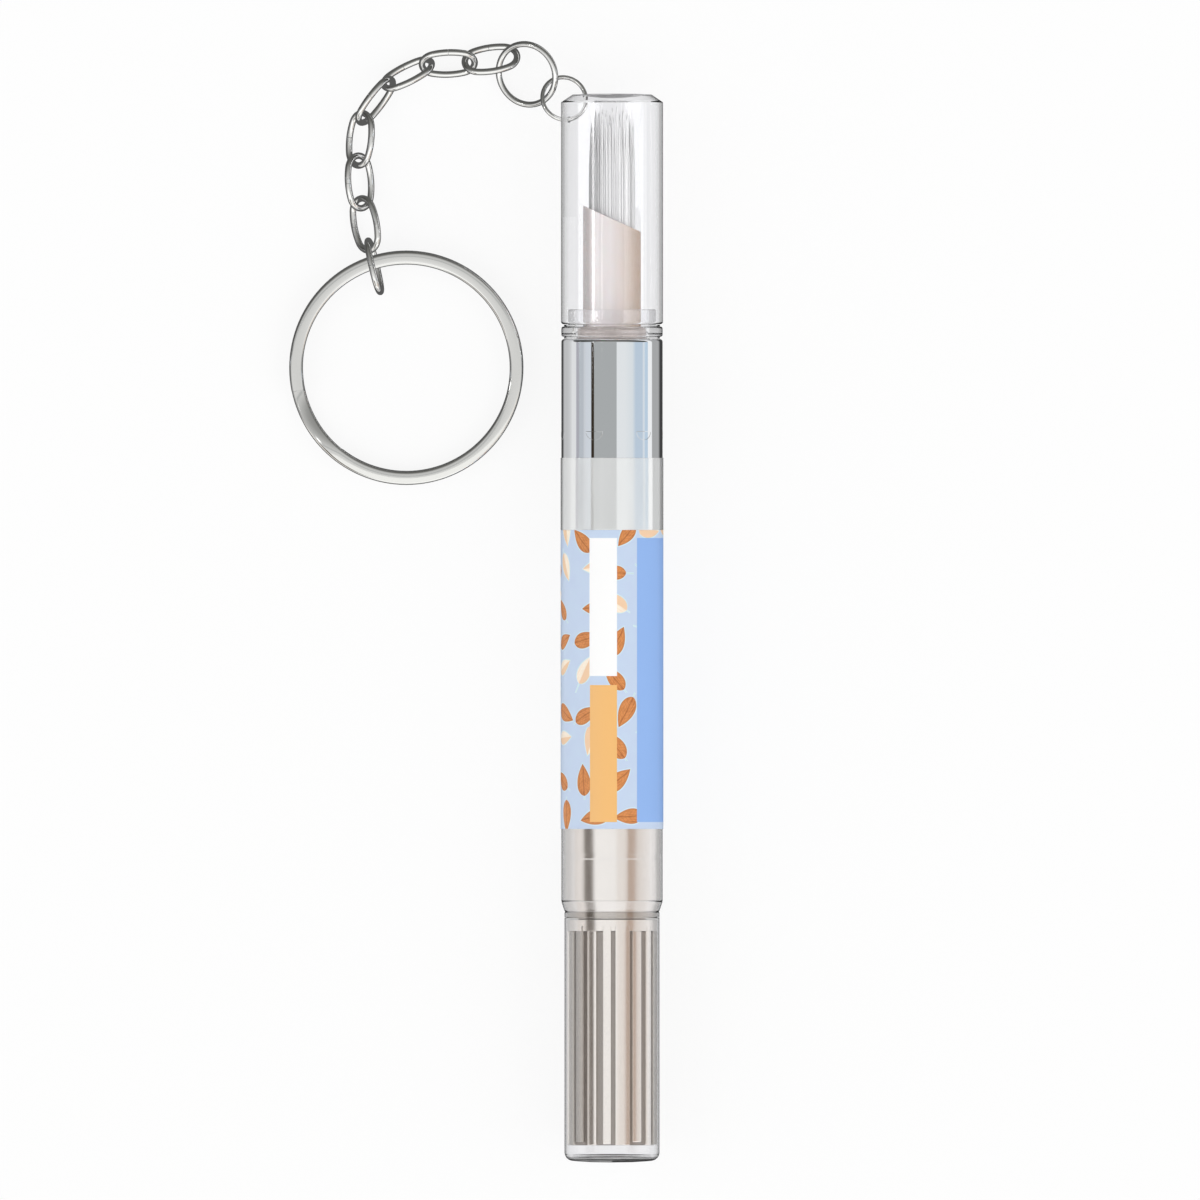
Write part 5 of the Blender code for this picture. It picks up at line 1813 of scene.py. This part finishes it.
@dataclass
class Studio:
    """The pale floor, the soft light and the camera that looks straight down."""

    line: PenLine
    pixel: float = 0.000128
    picture: int = 1200
    pen_column: float = 612.0
    knob_row: float = 1162.5
    camera_height: float = 0.6
    bounces: int = 24
    floor_reach: float = 4.0
    floor_drop: float = 0.00004
    floor_tint: tuple[float, ...] = (0.9, 0.9, 0.9, 1)
    floor_glow_share: float = 0.88
    lamp_size: float = 0.7
    lamp_energy: float = 2.4
    lamps: tuple[tuple[str, tuple[float, float, float]], ...] = (
        ("left_lamp", (-0.6, 0.05, 0.4)),
        ("right_lamp", (0.6, 0.0, 0.4)),
    )
    silver: float = 0.85
    flat_reach: tuple[float, float] = (0.010, 0.026)
    side_reach: tuple[float, float] = (0.5, 0.98)
    side_share: float = 0.22
    clear_share: float = 0.93
    tent_radius: float = 0.09
    tent_start: float = -0.01
    tent_end: float = 0.08
    tent_steps: int = 64
    cap_start: float = 0.1075
    cap_end: float = 0.1366
    cap_radius: float = 0.00653
    cap_lines: tuple[FarStrip, ...] = (
        FarStrip("left_line", -0.00407, -0.00436, 3.0),
        FarStrip("upper_line", -0.00230, -0.00260, 8.0),
        FarStrip("faint_line", -0.00126, -0.00136, 3.0),
        FarStrip("right_line", 0.00422, 0.00445, 2.2),
    )
    # Painted shadow: how bright the floor's glow looks in metal and clear plastic, fading with distance and
    # side
    left_in_metal: Fade = Fade(0.016, 0.045, 0.5, 0.72)
    left_in_clear: Fade = Fade(0.016, 0.045, 0.6, 0.75)
    right_in_metal: Fade = Fade(0.040, 0.046, 0.38, 0.85)
    right_in_clear: Fade = Fade(0.012, 0.020, 0.45, 0.85)
    left_close: Fade = Fade(0.009, 0.0115)
    right_close: Fade = Fade(0.0108, 0.0138)
    near_in_metal: float = 0.05
    near_in_clear: tuple[float, float] = (0.5, 0.52)
    under_pen: Fade = Fade(0.0043, 0.0052, 0.93, 0.91)
    open_floor: Fade = Fade(0.0075, 0.0085)
    chain_start: float = 0.121
    chain_slope: float = -0.8
    chain_side: float = -0.003
    # Painted shadow: the floor's glow close under the wires and the chain, in their gleam
    wire_floor: float = 0.10

    def strips(self, graph: Graph, angle: Socket, strips: tuple[Strip, ...]) -> tuple[Socket, float]:
        """Turn an angle into the light of its strip.

        Args:
            graph: The graph to add to.
            angle: The angle from straight up, in radians.
            strips: The strips, in order.

        Returns:
            The colour's socket and its strength.
        """
        ramp = graph.add("ValToRGB", {"Fac": graph.ramp(angle, -math.pi, math.pi)})
        stops = ramp.color_ramp.elements
        stops[1].position = 1.0
        rows = [(*strip, 1.0)[:3] for strip in strips]
        top = max(level for _, _, level in rows)
        for degrees, _, _ in rows[1:-1]:
            stops.new((degrees + 180) / 360)
        for stop, (_, tint, level) in zip(stops, rows):
            stop.color = (*(part * level / top for part in colour(tint)[:3]), 1.0)
        return ramp.outputs[0], top / self.silver

    def build_world(self) -> None:
        """Light the object from long soft strips that lie along the pen."""
        world = bpy.data.worlds.new("soft_strips")
        bpy.context.scene.world = world
        graph = Graph(world)
        across, along, up = graph.split(graph.place("Generated"))
        sleeve_light = self.strips(graph, graph.math("ARCTAN2", across, up), SLEEVE_STRIPS)
        flat = graph.math("SQRT", graph.math("SUBTRACT", 1.0, graph.times(up, up)))
        heading = graph.math("DIVIDE", along, graph.most(flat, 0.001))
        tilt = graph.times(graph.math("ARCCOSINE", up), heading)
        tint, strength = self.strips(graph, tilt, WIRE_STRIPS)
        aside = graph.math("ABSOLUTE", across)
        sides = graph.ramp(aside, *self.side_reach, strength, strength * self.side_share)
        beside = graph.shine("Background", *sleeve_light)
        ahead = graph.shine("Background", tint, sides)
        dome = graph.blend(graph.ramp(graph.math("ABSOLUTE", along), *self.flat_reach), beside, ahead)
        path = graph.add("LightPath").outputs
        clear = graph.times(graph.over(path["Transmission Depth"], 0.5), self.clear_share)
        plain = graph.most(path["Is Camera Ray"], clear)
        graph.finish(graph.blend(plain, dome, graph.shine("Background", WHITE, 1.0)), "World")

    def build_tent(self) -> None:
        """Bend a screen of warmer strips over the tail and the knob, for their gleam alone."""
        shape = bmesh.new()
        side = self.line.x + self.tent_radius
        places = [(side, self.line.start + station, 0.0) for station in (self.tent_start, self.tent_end)]
        ends = [shape.verts.new(place) for place in places]
        bmesh.ops.spin(
            shape,
            geom=ends + [shape.edges.new(ends)],
            cent=(self.line.x, 0, 0),
            axis=(0, -1, 0),
            angle=math.pi,
            steps=self.tent_steps,
        )
        material, graph = new_material("tail_tent")
        from_line = graph.vector("SUBTRACT", graph.place(), (self.line.x, 0, self.line.z))
        across, _, up = graph.split(from_line)
        light = self.strips(graph, graph.math("ARCTAN2", across, up), TAIL_STRIPS)
        graph.finish(graph.shine("Emission", *light))
        hide_from_camera(finish_object("tail_tent", shape, material))

    def between(self, graph: Graph, share: Socket, away: Socket, *fades: Fade) -> Socket:
        """Mix two fades over a distance by the second's share."""
        return graph.choose(share, *(fade.draw(graph, away) for fade in fades))

    def floor_in_gleam(
        self, graph: Graph, beside: Socket, along: Socket, path: bpy.types.bpy_prop_collection
    ) -> Socket:
        """Work out how bright the floor looks in metal and in the gleam of clear plastic, with painted
        shadow: darker close to the pen and under the chain.

        Args:
            graph: The floor's graph.
            beside: How far to the right of the pen's axis the floor is.
            along: Its Y.
            path: The light path's outputs.

        Returns:
            The floor's brightness.
        """
        away = path["Ray Length"]
        clear = graph.over(path["Transmission Depth"], 0.5)
        side = graph.over(beside, 0.0)
        left = self.between(graph, clear, away, self.left_in_metal, self.left_in_clear)
        right = self.between(graph, clear, away, self.right_in_metal, self.right_in_clear)
        far = graph.choose(side, left, right)
        near = graph.choose(clear, self.near_in_metal, graph.choose(side, *self.near_in_clear))
        close = self.between(graph, side, away, self.left_close, self.right_close)
        by_pen = graph.choose(close, near, far)
        by_chain = graph.over(along, self.line.start + self.chain_start)
        left_of_pen = graph.math("LESS_THAN", beside, self.chain_side)
        low = graph.math("LESS_THAN", away, graph.times(beside, self.chain_slope))
        from_wire = graph.most(low, graph.times(by_chain, left_of_pen))
        from_wire = graph.times(from_wire, graph.math("SUBTRACT", 1.0, clear))
        return graph.choose(from_wire, by_pen, self.wire_floor)

    def build_floor(self) -> None:
        """Lay the floor, which keeps the object's shadow, and whose glow is painted darker close by, as
        painted shadow in the metal and the clear plastic.
        """
        shape = bmesh.new()
        bmesh.ops.create_grid(shape, x_segments=1, y_segments=1, size=self.floor_reach)
        bmesh.ops.translate(shape, verts=shape.verts, vec=(0, 0, -self.floor_drop))
        material, graph = new_material("pale_floor")
        path = graph.add("LightPath").outputs
        across, along, _ = graph.split(graph.place())
        beside = graph.math("SUBTRACT", across, self.line.x)
        aside = graph.math("ABSOLUTE", beside)
        # Painted shadow under the pen, as seen through the clear plastic
        through = graph.most(self.under_pen.draw(graph, aside), self.open_floor.draw(graph, aside))
        straight = graph.choose(path["Is Transmission Ray"], 1.0, through)
        gleam = graph.over(path["Glossy Depth"], 0.5)
        in_gleam = self.floor_in_gleam(graph, beside, along, path)
        level = graph.choose(gleam, straight, graph.math("DIVIDE", in_gleam, self.silver))
        direct = graph.most(path["Is Camera Ray"], path["Is Transmission Ray"])
        lit = graph.most(direct, path["Is Glossy Ray"])
        share = graph.choose(gleam, graph.times(lit, self.floor_glow_share), lit)
        matt = graph.add("BsdfDiffuse", {"Color": self.floor_tint}).outputs[0]
        graph.finish(graph.blend(share, matt, graph.shine("Emission", WHITE, level)))
        finish_object("floor", shape, material)

    def build_lamps(self) -> None:
        """Hang a large soft lamp to each side of the object."""
        for name, place in self.lamps:
            light = bpy.data.lights.new(name, "AREA")
            light.shape = "SQUARE"
            light.size = self.lamp_size
            light.energy = self.lamp_energy
            lamp = add_object(name, light)
            lamp.location = place
            lamp.rotation_euler = Vector(place).to_track_quat("Z", "Y").to_euler()
            lamp.visible_glossy = False
            lamp.visible_camera = False

    def build_camera(self) -> None:
        """Look straight down, with the photograph's framing."""
        data = bpy.data.cameras.new("straight_down")
        data.type = "ORTHO"
        data.ortho_scale = self.picture * self.pixel
        camera = add_object("straight_down", data)
        middle = self.picture / 2
        camera.location = (
            self.line.x + (middle - self.pen_column) * self.pixel,
            self.line.start + (self.knob_row - middle) * self.pixel,
            self.camera_height,
        )
        bpy.context.scene.camera = camera

    def build(self) -> None:
        """Build the studio and set how rays travel through the clear parts."""
        scene = bpy.context.scene
        scene.view_settings.view_transform = "Standard"
        scene.cycles.max_bounces = self.bounces
        scene.cycles.transmission_bounces = self.bounces
        scene.cycles.transparent_max_bounces = self.bounces
        self.build_world()
        self.build_floor()
        self.build_tent()
        for strip in self.cap_lines:
            strip.build(self.line, self.cap_radius, self.cap_start, self.cap_end)
        self.build_lamps()
        self.build_camera()


def main() -> None:
    """Build every piece and the studio."""
    logging.basicConfig(level=logging.INFO, format="%(name)s: %(message)s")
    line = PenLine.from_frame()
    finishes = Finishes(line)
    Studio(line).build()
    assemblies: tuple[Callable[[Finishes], None], ...] = (
        Knob(line).build,
        Tail(line).build,
        Barrel(line).build,
        Neck(line).build,
        Brush(line).build,
        Cap(line).build,
        Chain().build,
        KeyRing().build,
        Drive().build,
    )
    for build in assemblies:
        build(finishes)


if __name__ == "__main__":
    main()
